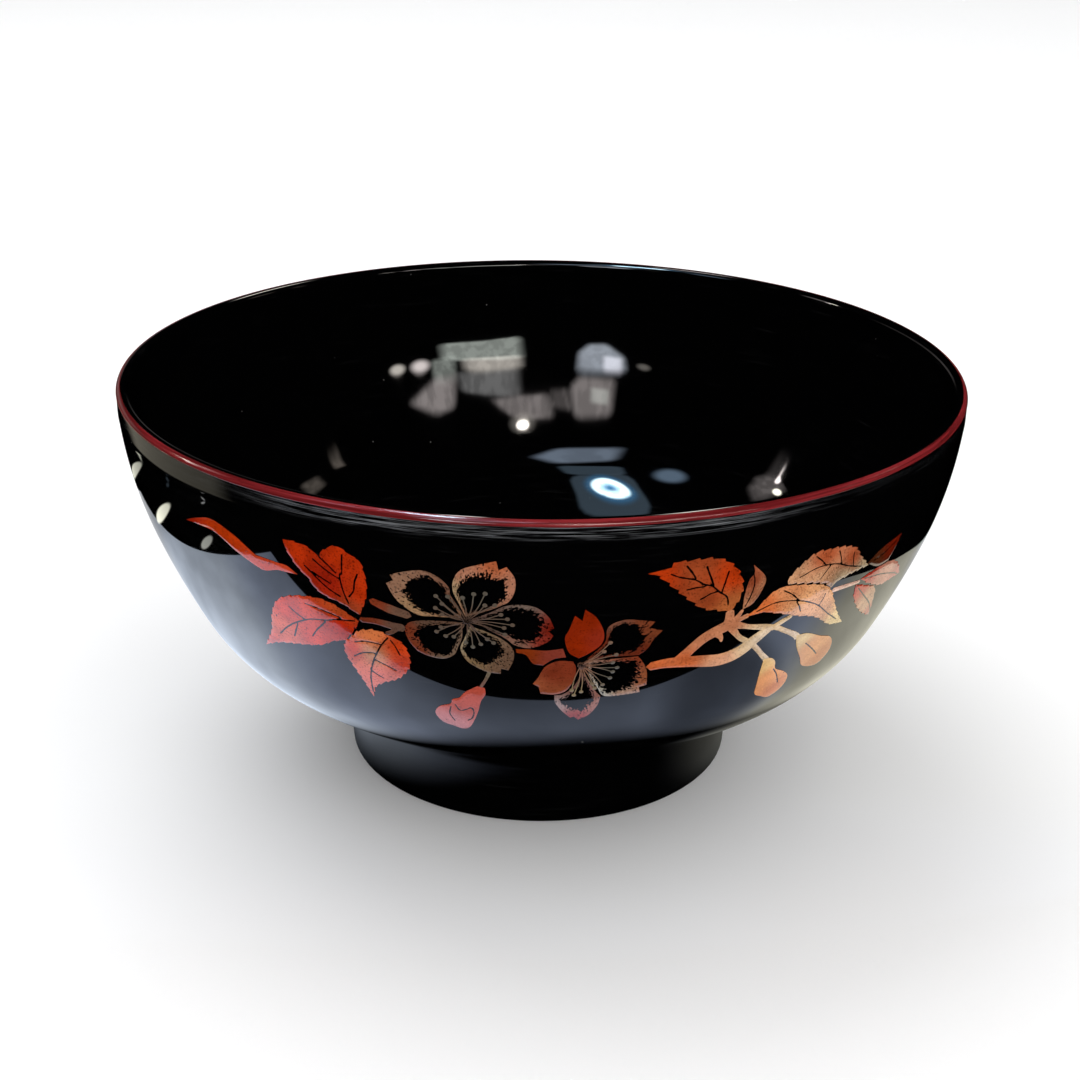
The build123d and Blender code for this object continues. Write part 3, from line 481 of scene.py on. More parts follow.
# How strongly each piece is painted in red, green and blue, and how bright the whole painting is. The
# strengths also hold painted light: each piece is made darker or lighter, and bluer, to stand in for the
# light and pale reflections falling on it.
PAINT_LEVEL = 0.47
PAINT_AND_LIGHT_STRENGTH = {
    "large_blossom_petal_upper_left": (1.1, 0.96, 1.05), "large_blossom_petal_top": (1.14, 1.14, 1.36),
    "large_blossom_petal_right": (0.60, 0.72, 1.0), "large_blossom_petal_bottom": (0.60, 0.56, 0.60),
    "large_blossom_petal_lower_left": (0.66, 0.72, 0.84), "large_blossom_stamens": (0.74, 0.84, 1.05),
    "small_blossom_petal_top": (0.62, 0.62, 0.56), "small_blossom_petal_lower_left": (0.66, 0.65, 0.85),
    "small_blossom_petal_upper_right": (0.5, 0.47, 0.58), "small_blossom_petal_right": (0.80, 0.88, 1.08),
    "small_blossom_petal_bottom": (0.66, 0.54, 0.76), "small_blossom_petal_cup": (0.55, 1.08, 1.6),
    "small_blossom_stamens": (0.74, 0.84, 1.05), "leaf_far_up": (0.47, 0.6, 0.43),
    "leaf_left": (1.5, 1.36, 1.0), "leaf_hanging": (1.4, 1.5, 1.55), "leaf_edge_on": (1.17, 1.3, 1.0),
    "leaf_two_lobed": (1.14, 1.0, 1.0), "leaf_top_right": (1.12, 1.25, 1.15),
    "leaf_far_right": (1.05, 0.9, 1.1),
    "leaf_right_front": (1.5, 1.38, 1.14), "leaf_right_behind": (1.46, 1.8, 1.9),
    "bud_hanging": (1.08, 1.9, 2.9), "bud_lower": (1.65, 1.22, 0.66), "bud_upper": (1.4, 1.14, 0.74),
    "branch": (1.5, 1.32, 1.26), "twig_far": (1.55, 1.85, 2.6), "twig_behind_upper": (0.92, 0.95, 1.1),
    "twig_behind_lower": (0.68, 0.70, 0.86), "stalk_hanging": (0.47, 0.56, 0.86),
}

FILAMENT_WIDTHS = (0.15, 0.18)
ANTHER_RADIUS = 0.36

# ---- profiles of the turned coats ---------------------------------------------------------------


def follow(start, slope, arcs, offset, step=ARC_STEP):
    """Points along a chain of tangent arcs, moved by offset to the right of the way they run."""
    r, z = start
    a = math.radians(slope)
    points = [(r + offset * math.sin(a), z - offset * math.cos(a))]
    for radius, end in arcs:
        b = math.radians(end)
        count = max(2, math.ceil(radius * abs(b - a) / step))
        for k in range(1, count + 1):
            c = a + (b - a) * k / count
            along_r = r + radius * (math.sin(c) - math.sin(a)) + offset * math.sin(c)
            along_z = z + radius * (math.cos(a) - math.cos(c)) - offset * math.cos(c)
            points.append((along_r, along_z))
        r += radius * (math.sin(b) - math.sin(a))
        z += radius * (math.cos(a) - math.cos(b))
        a = b
    return points


def arc(centre, radius, start, end, count):
    """Points on a circle from one angle to another, in degrees."""
    angles = [math.radians(start + (end - start) * k / count) for k in range(count + 1)]
    return [(centre[0] + radius * math.cos(a), centre[1] + radius * math.sin(a)) for a in angles]


def foot_hollow():
    """Centre of the hollow between foot and body, and the directions in which it meets them."""
    radius, slope = OUTER_ARCS[0][0], math.radians(OUTER_SLOPE)
    body_r = OUTER_START[0] - radius * math.sin(slope)
    body_z = OUTER_START[1] + radius * math.cos(slope)
    scale = math.hypot(FOOT_FLARE, 1.0)
    along = (FOOT_FLARE / scale, 1.0 / scale)
    to_foot = (-1.0 / scale, FOOT_FLARE / scale)
    dr = FOOT_EDGE_OUTER - FOOT_HOLLOW * to_foot[0] - body_r
    dz = -FOOT_HOLLOW * to_foot[1] - body_z
    half = dr * along[0] + dz * along[1]
    rest = dr * dr + dz * dz - (radius + FOOT_HOLLOW) ** 2
    t = -half - math.sqrt(half * half - rest)
    centre = (body_r + dr + t * along[0], body_z + dz + t * along[1])
    reach = radius + FOOT_HOLLOW
    to_body = ((body_r - centre[0]) / reach, (body_z - centre[1]) / reach)
    return centre, to_foot, to_body


def rounded(corner, before, after, radius):
    """Points of a fillet in the corner between two straight sides."""
    c, p, q = (np.array(v, float) for v in (corner, before, after))
    u, v = (p - c) / np.linalg.norm(p - c), (q - c) / np.linalg.norm(q - c)
    half = math.acos(np.clip(u @ v, -1, 1)) / 2
    middle = (u + v) / np.linalg.norm(u + v)
    centre = c + middle * radius / math.sin(half)
    start = c + u * radius / math.tan(half) - centre
    end = c + v * radius / math.tan(half) - centre
    turn = math.atan2(start[0] * end[1] - start[1] * end[0], start @ end)
    points = []
    for k in range(FILLET_STEPS + 1):
        a = turn * k / FILLET_STEPS
        points.append(tuple(centre + (
            start[0] * math.cos(a) - start[1] * math.sin(a),
            start[0] * math.sin(a) + start[1] * math.cos(a),
        )))
    return points


def under_path(inset):
    """The underside from the axis to just up the outside of the foot."""
    recess = (RECESS_TOP_RADIUS + inset, RECESS_DEPTH + inset)
    inner = (FOOT_EDGE_INNER + inset, inset)
    outer = (FOOT_EDGE_OUTER - inset + FOOT_FLARE * inset, inset)
    up = (FOOT_EDGE_OUTER - inset + FOOT_FLARE * FOOT_ROUND, FOOT_ROUND)
    rings = [(k * recess[0] / UNDER_RINGS, recess[1]) for k in range(UNDER_RINGS - 1)]
    points = rings + rounded(recess, (0.0, recess[1]), inner, RECESS_FILLET - inset)
    points += rounded(inner, recess, outer, FOOT_ROUND)
    points += rounded(outer, inner, (outer[0] + FOOT_FLARE, outer[1] + 1.0), FOOT_ROUND - inset)
    return [p for p in points if p[1] < up[1] or p[0] < outer[0]] + [up]


def outside_path(inset):
    """The outside from just above the standing edge to the red line."""
    centre, to_foot, to_body = foot_hollow()
    slope = math.degrees(math.asin(-to_body[0]))
    touch = tuple(c + FOOT_HOLLOW * d for c, d in zip(centre, to_body))
    radius = FOOT_HOLLOW + inset
    first = math.degrees(math.atan2(to_foot[1], to_foot[0]))
    last = math.degrees(math.atan2(to_body[1], to_body[0]))
    if first < last:
        first += 360.0
    hollow = arc(centre, radius, first, last, HOLLOW_STEPS)
    foot_r, foot_z = hollow[0]
    foot_heights = np.linspace(FOOT_ROUND, foot_z, FOOT_STEPS + 1)[:-1]
    foot = [(foot_r - FOOT_FLARE * (foot_z - z), z) for z in foot_heights]
    body = follow(touch, slope, OUTER_ARCS, -inset)
    lip_r, lip_z = LIP_CENTRE
    lip_radius = LIP_RADIUS - inset
    bead_r, wall_r, wall_z = lip_r + lip_radius, *body[-1]
    shoulder = []
    for k in range(1, BEAD_STEPS + 1):
        t = k / BEAD_STEPS
        shoulder.append((wall_r + (bead_r - wall_r) * t * (2 - t), wall_z + BEAD_BLEND * t))
    bead_low = wall_z + BEAD_BLEND + BEAD_GAP
    bead = [(bead_r, z) for z in np.linspace(bead_low, lip_z, BEAD_STEPS + 1)]
    end = math.degrees(math.asin((LINE_LOW_Z - lip_z) / lip_radius))
    return foot + hollow + body[1:] + shoulder + bead + arc(LIP_CENTRE, lip_radius, 0, end, 3)[1:]


def inside_path(inset):
    """The inside, from the red line over the top of the lip and down to the axis. The hidden side
    of the coat is coarser."""
    lip_radius = LIP_RADIUS - inset
    inner_wall = follow(INNER_START, INNER_SLOPE, INNER_ARCS, inset, ARC_STEP * (2 if inset else 1))
    return arc(LIP_CENTRE, lip_radius, LINE_END, 180, LIP_STEPS) + inner_wall[::-1]


def stand_for(piece, node):
    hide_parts(node)
    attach(piece, "root")


def new_object(name, mesh, material):
    mesh.materials.append(material)
    made = bpy.data.objects.new(name, mesh)
    bpy.context.scene.collection.objects.link(made)
    return made


def turned(name, material, path, closed, shape=None):
    """A path of (r, z) turned about the axis. A path that isn't closed starts and ends on the axis.
    shape may move the points of one angle: it takes (path, angle) and returns a new path."""
    path = np.array(path, float)
    angles = np.arange(TURN_STEPS) * 2 * math.pi / TURN_STEPS
    rings = np.array([shape(path, a) if shape else path for a in angles]).transpose(1, 0, 2)
    count = len(path)
    x = rings[:, :, 0] * np.cos(angles)
    y = rings[:, :, 0] * np.sin(angles)
    points = np.stack([x, y, rings[:, :, 1]], axis=2)
    index = np.arange(count * TURN_STEPS).reshape(count, TURN_STEPS)
    if not closed:
        index[0, :] = 0
        index[-1, :] = (count - 1) * TURN_STEPS
    after = np.roll(index, -1, axis=1)
    pairs = [(i, (i + 1) % count) for i in range(count if closed else count - 1)]
    faces = []
    for i, j in pairs:
        for k in range(TURN_STEPS):
            face = [index[i, k], after[i, k], after[j, k], index[j, k]]
            corners = list(dict.fromkeys(int(f) for f in face))
            faces.append(corners)
    used = np.unique(np.concatenate([np.array(f) for f in faces]))
    place = np.full(count * TURN_STEPS, -1)
    place[used] = np.arange(len(used))
    vertices = points.reshape(-1, 3)[used] * MM
    mesh = bpy.data.meshes.new(name)
    mesh.from_pydata(vertices.tolist(), [], [[int(place[i]) for i in f] for f in faces])
    mesh.polygons.foreach_set("use_smooth", [True] * len(mesh.polygons))
    mesh.set_sharp_from_angle(angle=math.radians(TURNED_SHARP))
    return new_object(name, mesh, material)


# How the lower edge of the red line wanders: the share, number and phase of each wave round the lip.
LINE_WAVES = ((0.5, 7, 0.4), (0.3, 19, 2.0), (0.2, 43, 1.1))
LINE_WANDER = 0.05
LINE_EDGE = 0.12          # height of the edge that wanders


def line_shape(path, angle):
    """The red line was painted by hand: its lower edge wanders a little round the lip."""
    wander = sum(share * math.sin(count * angle + phase) for share, count, phase in LINE_WAVES)
    moved = path.copy()
    low = path[:, 1] < LINE_LOW_Z + LINE_EDGE
    moved[low, 1] += LINE_WANDER * (wander - 1.0)
    return moved


def line_path():
    """Section of the red line: a film round the outside of the lip, thin along its two edges."""
    radius = LIP_RADIUS + LINE_FILM
    start = math.degrees(math.asin((LINE_LOW_Z - LIP_CENTRE[1]) / radius))
    over = []
    for k in range(LINE_STEPS + 1):
        t = k / LINE_STEPS
        a = math.radians(start + (LINE_END + 1.5 - start) * t)
        r = radius - LINE_FILM * (1 - min(1.0, min(t, 1 - t) / 0.09)) ** 2
        over.append((LIP_CENTRE[0] + r * math.cos(a), LIP_CENTRE[1] + r * math.sin(a)))
    return over + arc(LIP_CENTRE, LIP_RADIUS - COAT, LINE_END - 2, start + 4, 12)


# ---- painted films ------------------------------------------------------------------------------


def wall(u, s, lift):
    """Points of the unrolled outside wall as metres in space, lift millimetres off its surface."""
    u, s = np.asarray(u, float), np.asarray(s, float)
    r, z, a = np.zeros_like(s), np.zeros_like(s), np.zeros_like(s)
    start_r, start_z = OUTER_START
    slope, done = math.radians(OUTER_SLOPE), 0.0
    for number, (radius, end) in enumerate(OUTER_ARCS):
        turned_to = math.radians(end)
        here = s >= done if number else np.ones_like(s, bool)
        angle = slope + (s - done) / radius
        r = np.where(here, start_r + radius * (np.sin(angle) - math.sin(slope)), r)
        z = np.where(here, start_z + radius * (math.cos(slope) - np.cos(angle)), z)
        a = np.where(here, angle, a)
        start_r += radius * (math.sin(turned_to) - math.sin(slope))
        start_z += radius * (math.cos(slope) - math.cos(turned_to))
        done += radius * (turned_to - slope)
        slope = turned_to
    turn = u / WRAP_RADIUS
    out_r, out_z = r + lift * np.sin(a), z - lift * np.cos(a)
    return np.stack([out_r * np.sin(turn), -out_r * np.cos(turn), out_z], axis=-1) * MM


def smooth_run(points):
    """A smooth curve through points, sampled at even steps. Two points make a straight line."""
    points = np.array(points, float)
    if len(points) == 2:
        count = max(1, round(np.linalg.norm(points[1] - points[0]) / OUTLINE_STEP))
        return points[0] + (points[1] - points[0]) * (np.arange(count + 1) / count)[:, None]
    padded = np.vstack([2 * points[0] - points[1], points, 2 * points[-1] - points[-2]])
    curve = []
    for i in range(1, len(padded) - 2):
        p0, p1, p2, p3 = padded[i - 1:i + 3]
        count = max(1, round(np.linalg.norm(p2 - p1) / OUTLINE_STEP))
        t = (np.arange(count) / count)[:, None]
        curve.append(0.5 * (
            2 * p1 + (p2 - p0) * t + (2 * p0 - 5 * p1 + 4 * p2 - p3) * t ** 2
            + (3 * p1 - p0 - 3 * p2 + p3) * t ** 3
        ))
    return np.vstack(curve + [points[-1:]])


def closed_outline(outline, teeth=None):
    """An outline of (u, s) points with corners marked TIP, as a dense closed polygon."""
    first = next(i for i, point in enumerate(outline) if len(point) > 2)
    turned_round = outline[first:] + outline[:first + 1]
    runs = [[turned_round[0][:2]]]
    for point in turned_round[1:]:
        runs[-1].append(point[:2])
        if len(point) > 2:
            runs.append([point[:2]])
    curves = []
    for run in runs[:-1]:
        curve = smooth_run(run)
        if teeth and len(run) > 3:
            curve = serrated(curve, *teeth)
        curves.append(curve[:-1])
    return np.vstack(curves)


def serrated(curve, length, depth):
    """Small teeth along a leaf's edge, which lean towards the end that is further down."""
    steps = np.linalg.norm(np.diff(curve, axis=0), axis=1)
    along = np.concatenate([[0.0], np.cumsum(steps)])
    tangent = np.gradient(curve, axis=0)
    tangent /= np.linalg.norm(tangent, axis=1)[:, None]
    normal = np.stack([-tangent[:, 1], tangent[:, 0]], axis=1)
    count = max(2, round(along[-1] / length))
    phase = along / along[-1] * count % 1.0
    ends = np.clip(np.minimum(along, along[-1] - along) / length, 0, 1)
    return curve + normal * ((phase - 0.5) * depth * ends)[:, None]


def stroke(points, widths):
    """The outline of a brush stroke of varying width with rounded ends."""
    line = smooth_run(points)
    places = np.linspace(0, 1, len(widths))
    half = np.interp(np.linspace(0, 1, len(line)), places, widths) / 2
    tangent = np.gradient(line, axis=0)
    tangent /= np.linalg.norm(tangent, axis=1)[:, None]
    normal = np.stack([-tangent[:, 1], tangent[:, 0]], axis=1)
    left, right = line + normal * half[:, None], line - normal * half[:, None]
    end = line[-1] + tangent[-1] * half[-1] * STROKE_NOSE
    start = line[0] - tangent[0] * half[0] * STROKE_NOSE
    return np.vstack([left, end, right[::-1], start])


def disc(centre, radius):
    angles = np.arange(DISC_SIDES) * 2 * math.pi / DISC_SIDES
    return np.array(centre) + radius * np.stack([np.cos(angles), np.sin(angles)], axis=1)


def inside(points, polygon):
    """Which points lie in a polygon, by counting the edges that a level line crosses."""
    x, y = points[:, 0][:, None], points[:, 1][:, None]
    x0, y0 = polygon[:, 0], polygon[:, 1]
    x1, y1 = np.roll(x0, -1), np.roll(y0, -1)
    crosses = (y0 > y) != (y1 > y)
    rise = np.where(y1 == y0, 1.0, y1 - y0)
    return (crosses & (x < (x1 - x0) * (y - y0) / rise + x0)).sum(axis=1) % 2 == 1


def distance_to(points, starts, ends):
    """Distance of each point from the nearest of some segments."""
    best = np.zeros(len(points))
    along = ends - starts
    length = np.maximum((along ** 2).sum(axis=1), 1e-12)
    for first in range(0, len(points), DISTANCE_BLOCK):
        block = points[first:first + DISTANCE_BLOCK]
        offset = block[:, None, :] - starts
        t = np.clip((offset * along).sum(axis=2) / length, 0, 1)
        gap = np.linalg.norm(offset - t[..., None] * along, axis=2)
        best[first:first + DISTANCE_BLOCK] = gap.min(axis=1)
    return best


def flat_film(polygons, cuts=(), creases=(), spacing=0.34):
    """Triangles that fill the polygons outside the cuts, with the creases among their edges."""
    everything = np.vstack(polygons)
    low, high = everything.min(axis=0), everything.max(axis=0)
    rows = np.arange(low[1], high[1], spacing * math.sqrt(3) / 2)
    grid = [
        (u, s) for k, s in enumerate(rows)
        for u in np.arange(low[0] + spacing / 2 * (k % 2), high[0], spacing)
    ]
    grid = np.array(grid)
    loops = [*polygons, *cuts]
    starts = np.vstack([*loops, *[c[:-1] for c in creases]])
    ends = np.vstack([*[np.roll(p, -1, axis=0) for p in loops], *[c[1:] for c in creases]])
    grid = grid[np.any([inside(grid, p) for p in polygons], axis=0)]
    grid = grid[distance_to(grid, starts, ends) > spacing * GRID_MARGIN]
    points, edges = [], []
    for loop in loops:
        base = len(points)
        points += loop.tolist()
        edges += [(base + i, base + (i + 1) % len(loop)) for i in range(len(loop))]
    for crease in creases:
        base = len(points)
        points += crease.tolist()
        edges += [(base + i, base + i + 1) for i in range(len(crease) - 1)]
    points += grid.tolist()
    found = delaunay_2d_cdt([Vector(p) for p in points], edges, [], 0, MERGE_WITHIN)
    flat = np.array([tuple(v) for v in found[0]])
    triangles = np.array([t for t in found[2] if len(t) == 3])
    middles = flat[triangles].mean(axis=1)
    keep = np.any([inside(middles, p) for p in polygons], axis=0)
    for cut in cuts:
        keep &= ~inside(middles, cut)
    a, b, c = (flat[triangles[:, k]] for k in range(3))
    area = (b[:, 0] - a[:, 0]) * (c[:, 1] - a[:, 1]) - (b[:, 1] - a[:, 1]) * (c[:, 0] - a[:, 0])
    triangles = triangles[keep & (area > 1e-6)]
    used, flat_index = np.unique(triangles, return_inverse=True)
    return flat[used], flat_index.reshape(-1, 3)


FIELDS = {1: ("FLOAT", "value"), 3: ("FLOAT_VECTOR", "vector"), 4: ("FLOAT_COLOR", "color")}


def film_object(name, material, flat, triangles, border, low, high, attributes):
    """A closed thin solid on the wall. Its top is at the heights high and its underside at low."""
    count = len(flat)
    top = wall(flat[:, 0], flat[:, 1], high)
    bottom = wall(flat[:, 0], flat[:, 1], low)
    faces = triangles.tolist() + (triangles[:, ::-1] + count).tolist()
    faces += [[a, a + count, b + count, b] for a, b in border.tolist()]
    mesh = bpy.data.meshes.new(name)
    mesh.from_pydata(np.vstack([top, bottom]).tolist(), [], faces)
    mesh.polygons.foreach_set("use_smooth", [True] * len(mesh.polygons))
    mesh.set_sharp_from_angle(angle=math.radians(FILM_SHARP))
    for key, values in attributes.items():
        values = np.concatenate([values, values]).reshape(2 * count, -1)
        kind, field = FIELDS[values.shape[1]]
        layer = mesh.attributes.new(key, kind, "POINT")
        layer.data.foreach_set(field, values.astype(np.float32).ravel())
    return new_object(name, mesh, material)


def border_of(triangles):
    """The sides that only one triangle has, in order."""
    sides = np.concatenate([triangles[:, [0, 1]], triangles[:, [1, 2]], triangles[:, [2, 0]]])
    known = {(int(a), int(b)) for a, b in sides}
    return np.array(sorted((a, b) for a, b in known if (b, a) not in known))


def hue_at(name, flat):
    """The piece's colour at each point: its nearest colours, blended and scaled by its strength, which also
    holds painted light and reflection.
    """
    weights, colours = [], []
    for u, s, tint in HUES[name]:
        gap = (flat[:, 0] - u) ** 2 + (flat[:, 1] - s) ** 2
        weights.append(1.0 / (gap + 1.0) ** 1.5)
        colours.append(PALETTE[tint])
    weights = np.array(weights) / np.sum(weights, axis=0)
    rgb = weights.T @ np.array(colours) * np.array(PAINT_AND_LIGHT_STRENGTH.get(name, 1.0)) * PAINT_LEVEL
    return np.hstack([rgb, np.ones((len(flat), 1))])


FULL_POWDER = 1.3
PETAL_THROAT = 3.5        # radius round a blossom's centre within which a petal has no band
THROAT_BAND = 0.03
RIM_POWDER = 0.13         # width of the dense line along a petal's rim
NARROW_FADE = 0.95


def powder_at(name, flat, edge, centre):
    """How dense a petal's powder is at each point, from 0 to 1: a broad band along the tip, a thin
    line along the sides, and next to nothing in the middle. Filaments grow out of the dark, and
    every other piece is full."""
    from_centre = np.linalg.norm(flat - np.array(centre), axis=1)
    if name.endswith("stamens"):
        return 0.45 + 0.75 * np.clip((from_centre - 0.2) / 1.3, 0, 1)
    if name not in POWDER:
        return np.full(len(flat), FULL_POWDER)
    towards, wide, narrow, wide_fade = POWDER[name]
    away = flat - (flat.min(axis=0) + flat.max(axis=0)) / 2
    angle = np.arctan2(away[:, 1], away[:, 0]) - math.radians(towards)
    facing = (0.5 + 0.5 * np.cos(angle)) ** 2
    band = narrow + (wide - narrow) * facing
    outer = np.clip((from_centre - PETAL_THROAT) / PETAL_THROAT, 0, 1)
    band = THROAT_BAND + (band - THROAT_BAND) * outer
    fade = NARROW_FADE + (wide_fade - NARROW_FADE) * facing
    dense = np.clip(1 - (edge - band) / fade, 0, 1)
    return np.maximum(dense, np.clip(1.5 - edge / RIM_POWDER, 0, 1))


ROUND_SCALE = 7.0         # how fast the strokes' noise changes round a blossom's centre
OUT_SCALE = 0.45          # and along them, per mm


def brushed(flat, centre):
    """Places along and across the strokes, which run towards the blossom's centre."""
    away = flat - np.array(centre)
    turn = np.arctan2(away[:, 1], away[:, 0])
    out = np.linalg.norm(away, axis=1)
    return np.stack([np.cos(turn) * ROUND_SCALE, np.sin(turn) * ROUND_SCALE, out * OUT_SCALE], axis=1)


def painted(name, material, polygons, cuts=(), low=-0.05, high=FILM, spacing=0.34, soft=0.3, thin=0.55):
    """One painted piece, which stands for its CAD film."""
    creases = [smooth_run(line) for line in VEINS.get(name, [])]
    flat, triangles = flat_film(polygons, cuts, creases, spacing)
    border = border_of(triangles)
    edge = distance_to(flat, flat[border[:, 0]], flat[border[:, 1]])
    if creases:
        starts, ends = np.vstack([c[:-1] for c in creases]), np.vstack([c[1:] for c in creases])
        vein = distance_to(flat, starts, ends)
    else:
        vein = np.full(len(flat), FAR_AWAY)
    centre = LARGE_BLOSSOM_CENTRE if name.startswith("large") else SMALL_BLOSSOM_CENTRE
    rise = np.clip(edge / soft, 0, 1)
    heights = high * (thin + (1 - thin) * rise * (2 - rise))
    heights -= VEIN_DEPTH * np.clip(1 - vein / VEIN_REACH, 0, 1)
    attributes = {
        "paint": hue_at(name, flat),
        "powder": powder_at(name, flat, edge, centre),
        "vein": vein,
        "strokes": brushed(flat, centre),
    }
    piece = film_object(name + "_paint", material, flat, triangles, border, low, heights, attributes)
    stand_for(piece, name)


# ---- materials ----------------------------------------------------------------------------------


class Nodes:
    """A material's node tree, with short calls for the nodes used here. Positions are in mm."""

    def __init__(self, name):
        self.material = bpy.data.materials.new(name)
        self.material.use_nodes = True
        self.tree = self.material.node_tree
        self.tree.nodes.clear()
        self.output = self.add("OutputMaterial")
        self.place = self.add("TexCoord").outputs["Object"]

    def set(self, socket, value):
        """Links a value to a socket, or sets it. A colour is given as three numbers."""
        if isinstance(value, bpy.types.NodeSocket):
            self.tree.links.new(value, socket)
        elif socket.type == "RGBA":
            socket.default_value = (*value, 1.0)
        else:
            socket.default_value = value

    def add(self, kind, **inputs):
        """A new node with its inputs set. An input's name has _ for each space."""
        node = self.tree.nodes.new("ShaderNode" + kind)
        for name, value in inputs.items():
            self.set(node.inputs[name.replace("_", " ")], value)
        return node

    def scaled(self, x, y, z):
        """Object coordinates in cells: x, y and z are how many cells there are in a millimetre."""
        return self.add("Mapping", Vector=self.place, Scale=(x / MM, y / MM, z / MM)).outputs["Vector"]

    def noise(self, x, y=None, z=None, detail=2.0):
        where = self.scaled(x, y or x, z or x)
        return self.add("TexNoise", Vector=where, Scale=1.0, Detail=detail).outputs["Fac"]

    def cells(self, per_mm, output="Distance"):
        where = self.scaled(per_mm, per_mm, per_mm)
        return self.add("TexVoronoi", Vector=where, Scale=1.0).outputs[output]

    def math(self, operation, a, b=0.0):
        node = self.add("Math")
        node.operation = operation
        self.set(node.inputs[0], a)
        self.set(node.inputs[1], b)
        return node.outputs[0]

    def times(self, a, b):
        return self.math("MULTIPLY", a, b)

    def plus(self, a, b):
        return self.math("ADD", a, b)

    def minus(self, a, b):
        return self.math("SUBTRACT", a, b)

    def ramp(self, value, low, high, to_low=0.0, to_high=1.0):
        """Goes smoothly from to_low to to_high while value goes from low to high."""
        node = self.add("MapRange", Value=value, From_Min=low, From_Max=high, To_Min=to_low, To_Max=to_high)
        node.interpolation_type = "SMOOTHSTEP"
        return node.outputs["Result"]

    def mix(self, share, a, b, blend="MIX"):
        """A mix of two colours. The node's colour sockets are found by their places."""
        node = self.add("Mix")
        node.data_type = "RGBA"
        node.blend_type = blend
        for place, value in ((0, share), (6, a), (7, b)):
            self.set(node.inputs[place], value)
        return node.outputs[2]

    def attribute(self, name, output="Fac"):
        node = self.add("Attribute")
        node.attribute_name = name
        return node.outputs[output]

    def stroke_noise(self):
        """Noise that is stretched along the brush strokes of a blossom."""
        where = self.attribute("strokes", "Vector")
        return self.add("TexNoise", Vector=where, Scale=4.2, Detail=2.0).outputs["Fac"]

    def along(self, axis):
        """The place along an axis, in mm."""
        return self.add("SeparateXYZ", Vector=self.scaled(1.0, 1.0, 1.0)).outputs[axis]

    def bump(self, value, depth):
        return self.add("Bump", Strength=1.0, Distance=depth * MM, Height=value).outputs["Normal"]

    def finish(self, node):
        self.set(self.output.inputs["Surface"], node.outputs[0])
        return self.material

    def surface(self, base, roughness, normal, metallic=0.0, ior=1.5):
        return self.finish(self.add(
            "BsdfPrincipled", Base_Color=base, Roughness=roughness, Normal=normal, Metallic=metallic, IOR=ior,
        ))

    def light(self, node):
        """A material that only gives off light and isn't sampled as a lamp."""
        self.material.cycles.emission_sampling = "NONE"
        return self.finish(node)


BLACK = (0.0005, 0.0005, 0.0006)
LACQUER_IOR = 1.52
FOOT_SHADE_IOR = 1.16           # the foot reflects less than the rest: painted shade for the bowl's shadow on what it mirrors


def lacquer_nodes(name):
    """Polished black lacquer: nearly flat, with hairline wiping marks and a few specks of dust."""
    n = Nodes(name)
    speck = n.ramp(n.cells(0.42), 0.05, 0.085, 1.0, 0.0)
    rare = n.ramp(n.noise(0.11), 0.64, 0.70)
    dust = n.times(speck, rare)
    hair = n.ramp(n.noise(0.10, 0.10, 5.0, 3.0), 0.62, 0.74)
    base = n.mix(n.times(hair, 0.012), BLACK, (0.5, 0.5, 0.5))
    base = n.mix(n.times(dust, 0.35), base, (0.30, 0.29, 0.28))
    rough = n.ramp(n.noise(0.06), 0.3, 0.7, 0.022, 0.045)
    rough = n.plus(rough, n.times(dust, 0.3))
    waves = n.plus(n.noise(0.12, detail=1.0), n.times(dust, 0.25))
    return n, base, rough, n.bump(waves, 0.006)


def lacquer_inside():
    n, base, rough, normal = lacquer_nodes("lacquer_inside")
    return n.surface(base, rough, normal, ior=LACQUER_IOR)


def lacquer_outside():
    """The outside coat also has the turner's fine rings in the polished band under the lip, rougher and grey.
    The grey is partly wear and partly a painted highlight where light catches the rings, so they are clear at
    the front and faint elsewhere."""
    n, base, rough, _ = lacquer_nodes("lacquer_outside")
    z = n.along("Z")
    band = n.times(n.ramp(z, 70.6, 71.6), n.ramp(z, 72.95, 73.2, 1.0, 0.0))
    rings = n.noise(0.09, 0.09, 14.0, 3.0)
    broken = n.ramp(n.noise(0.11, 0.11, 2.4, 3.0), 0.38, 0.60)
    # painted highlight: the rings are made greyer at the front, where light catches them
    front = n.times(n.ramp(n.along("Y"), -50.0, -64.0), n.ramp(n.along("X"), -48.0, -30.0))
    front = n.times(front, n.ramp(n.along("X"), 46.0, 24.0))
    marks = n.times(n.times(n.ramp(rings, 0.46, 0.60), broken), band)
    marks = n.times(marks, n.plus(n.times(front, 0.94), 0.06))
    # the grey of the rings is partly wear and partly painted highlight
    base = n.mix(n.times(marks, 0.42), base, (0.32, 0.33, 0.35))
    rough = n.plus(rough, n.times(marks, 0.20))
    waves = n.plus(n.noise(0.12, detail=1.0), n.times(marks, 2.0))
    return n.surface(base, rough, n.bump(waves, 0.006), ior=LACQUER_IOR)


def lacquer_foot():
    """The standing edge is rubbed dull where the bowl is put down. The whole foot also reflects less than the
    rest, a painted shade for the bowl's shadow that it mirrors.
    """
    n, base, rough, normal = lacquer_nodes("lacquer_foot")
    worn = n.times(n.ramp(n.along("Z"), 0.0, 0.35, 1.0, 0.0), n.ramp(n.noise(0.5), 0.42, 0.62))
    base = n.mix(n.times(worn, 0.6), base, (0.05, 0.035, 0.028))
    rough = n.plus(rough, n.times(worn, 0.35))
    return n.surface(base, rough, normal, ior=FOOT_SHADE_IOR)


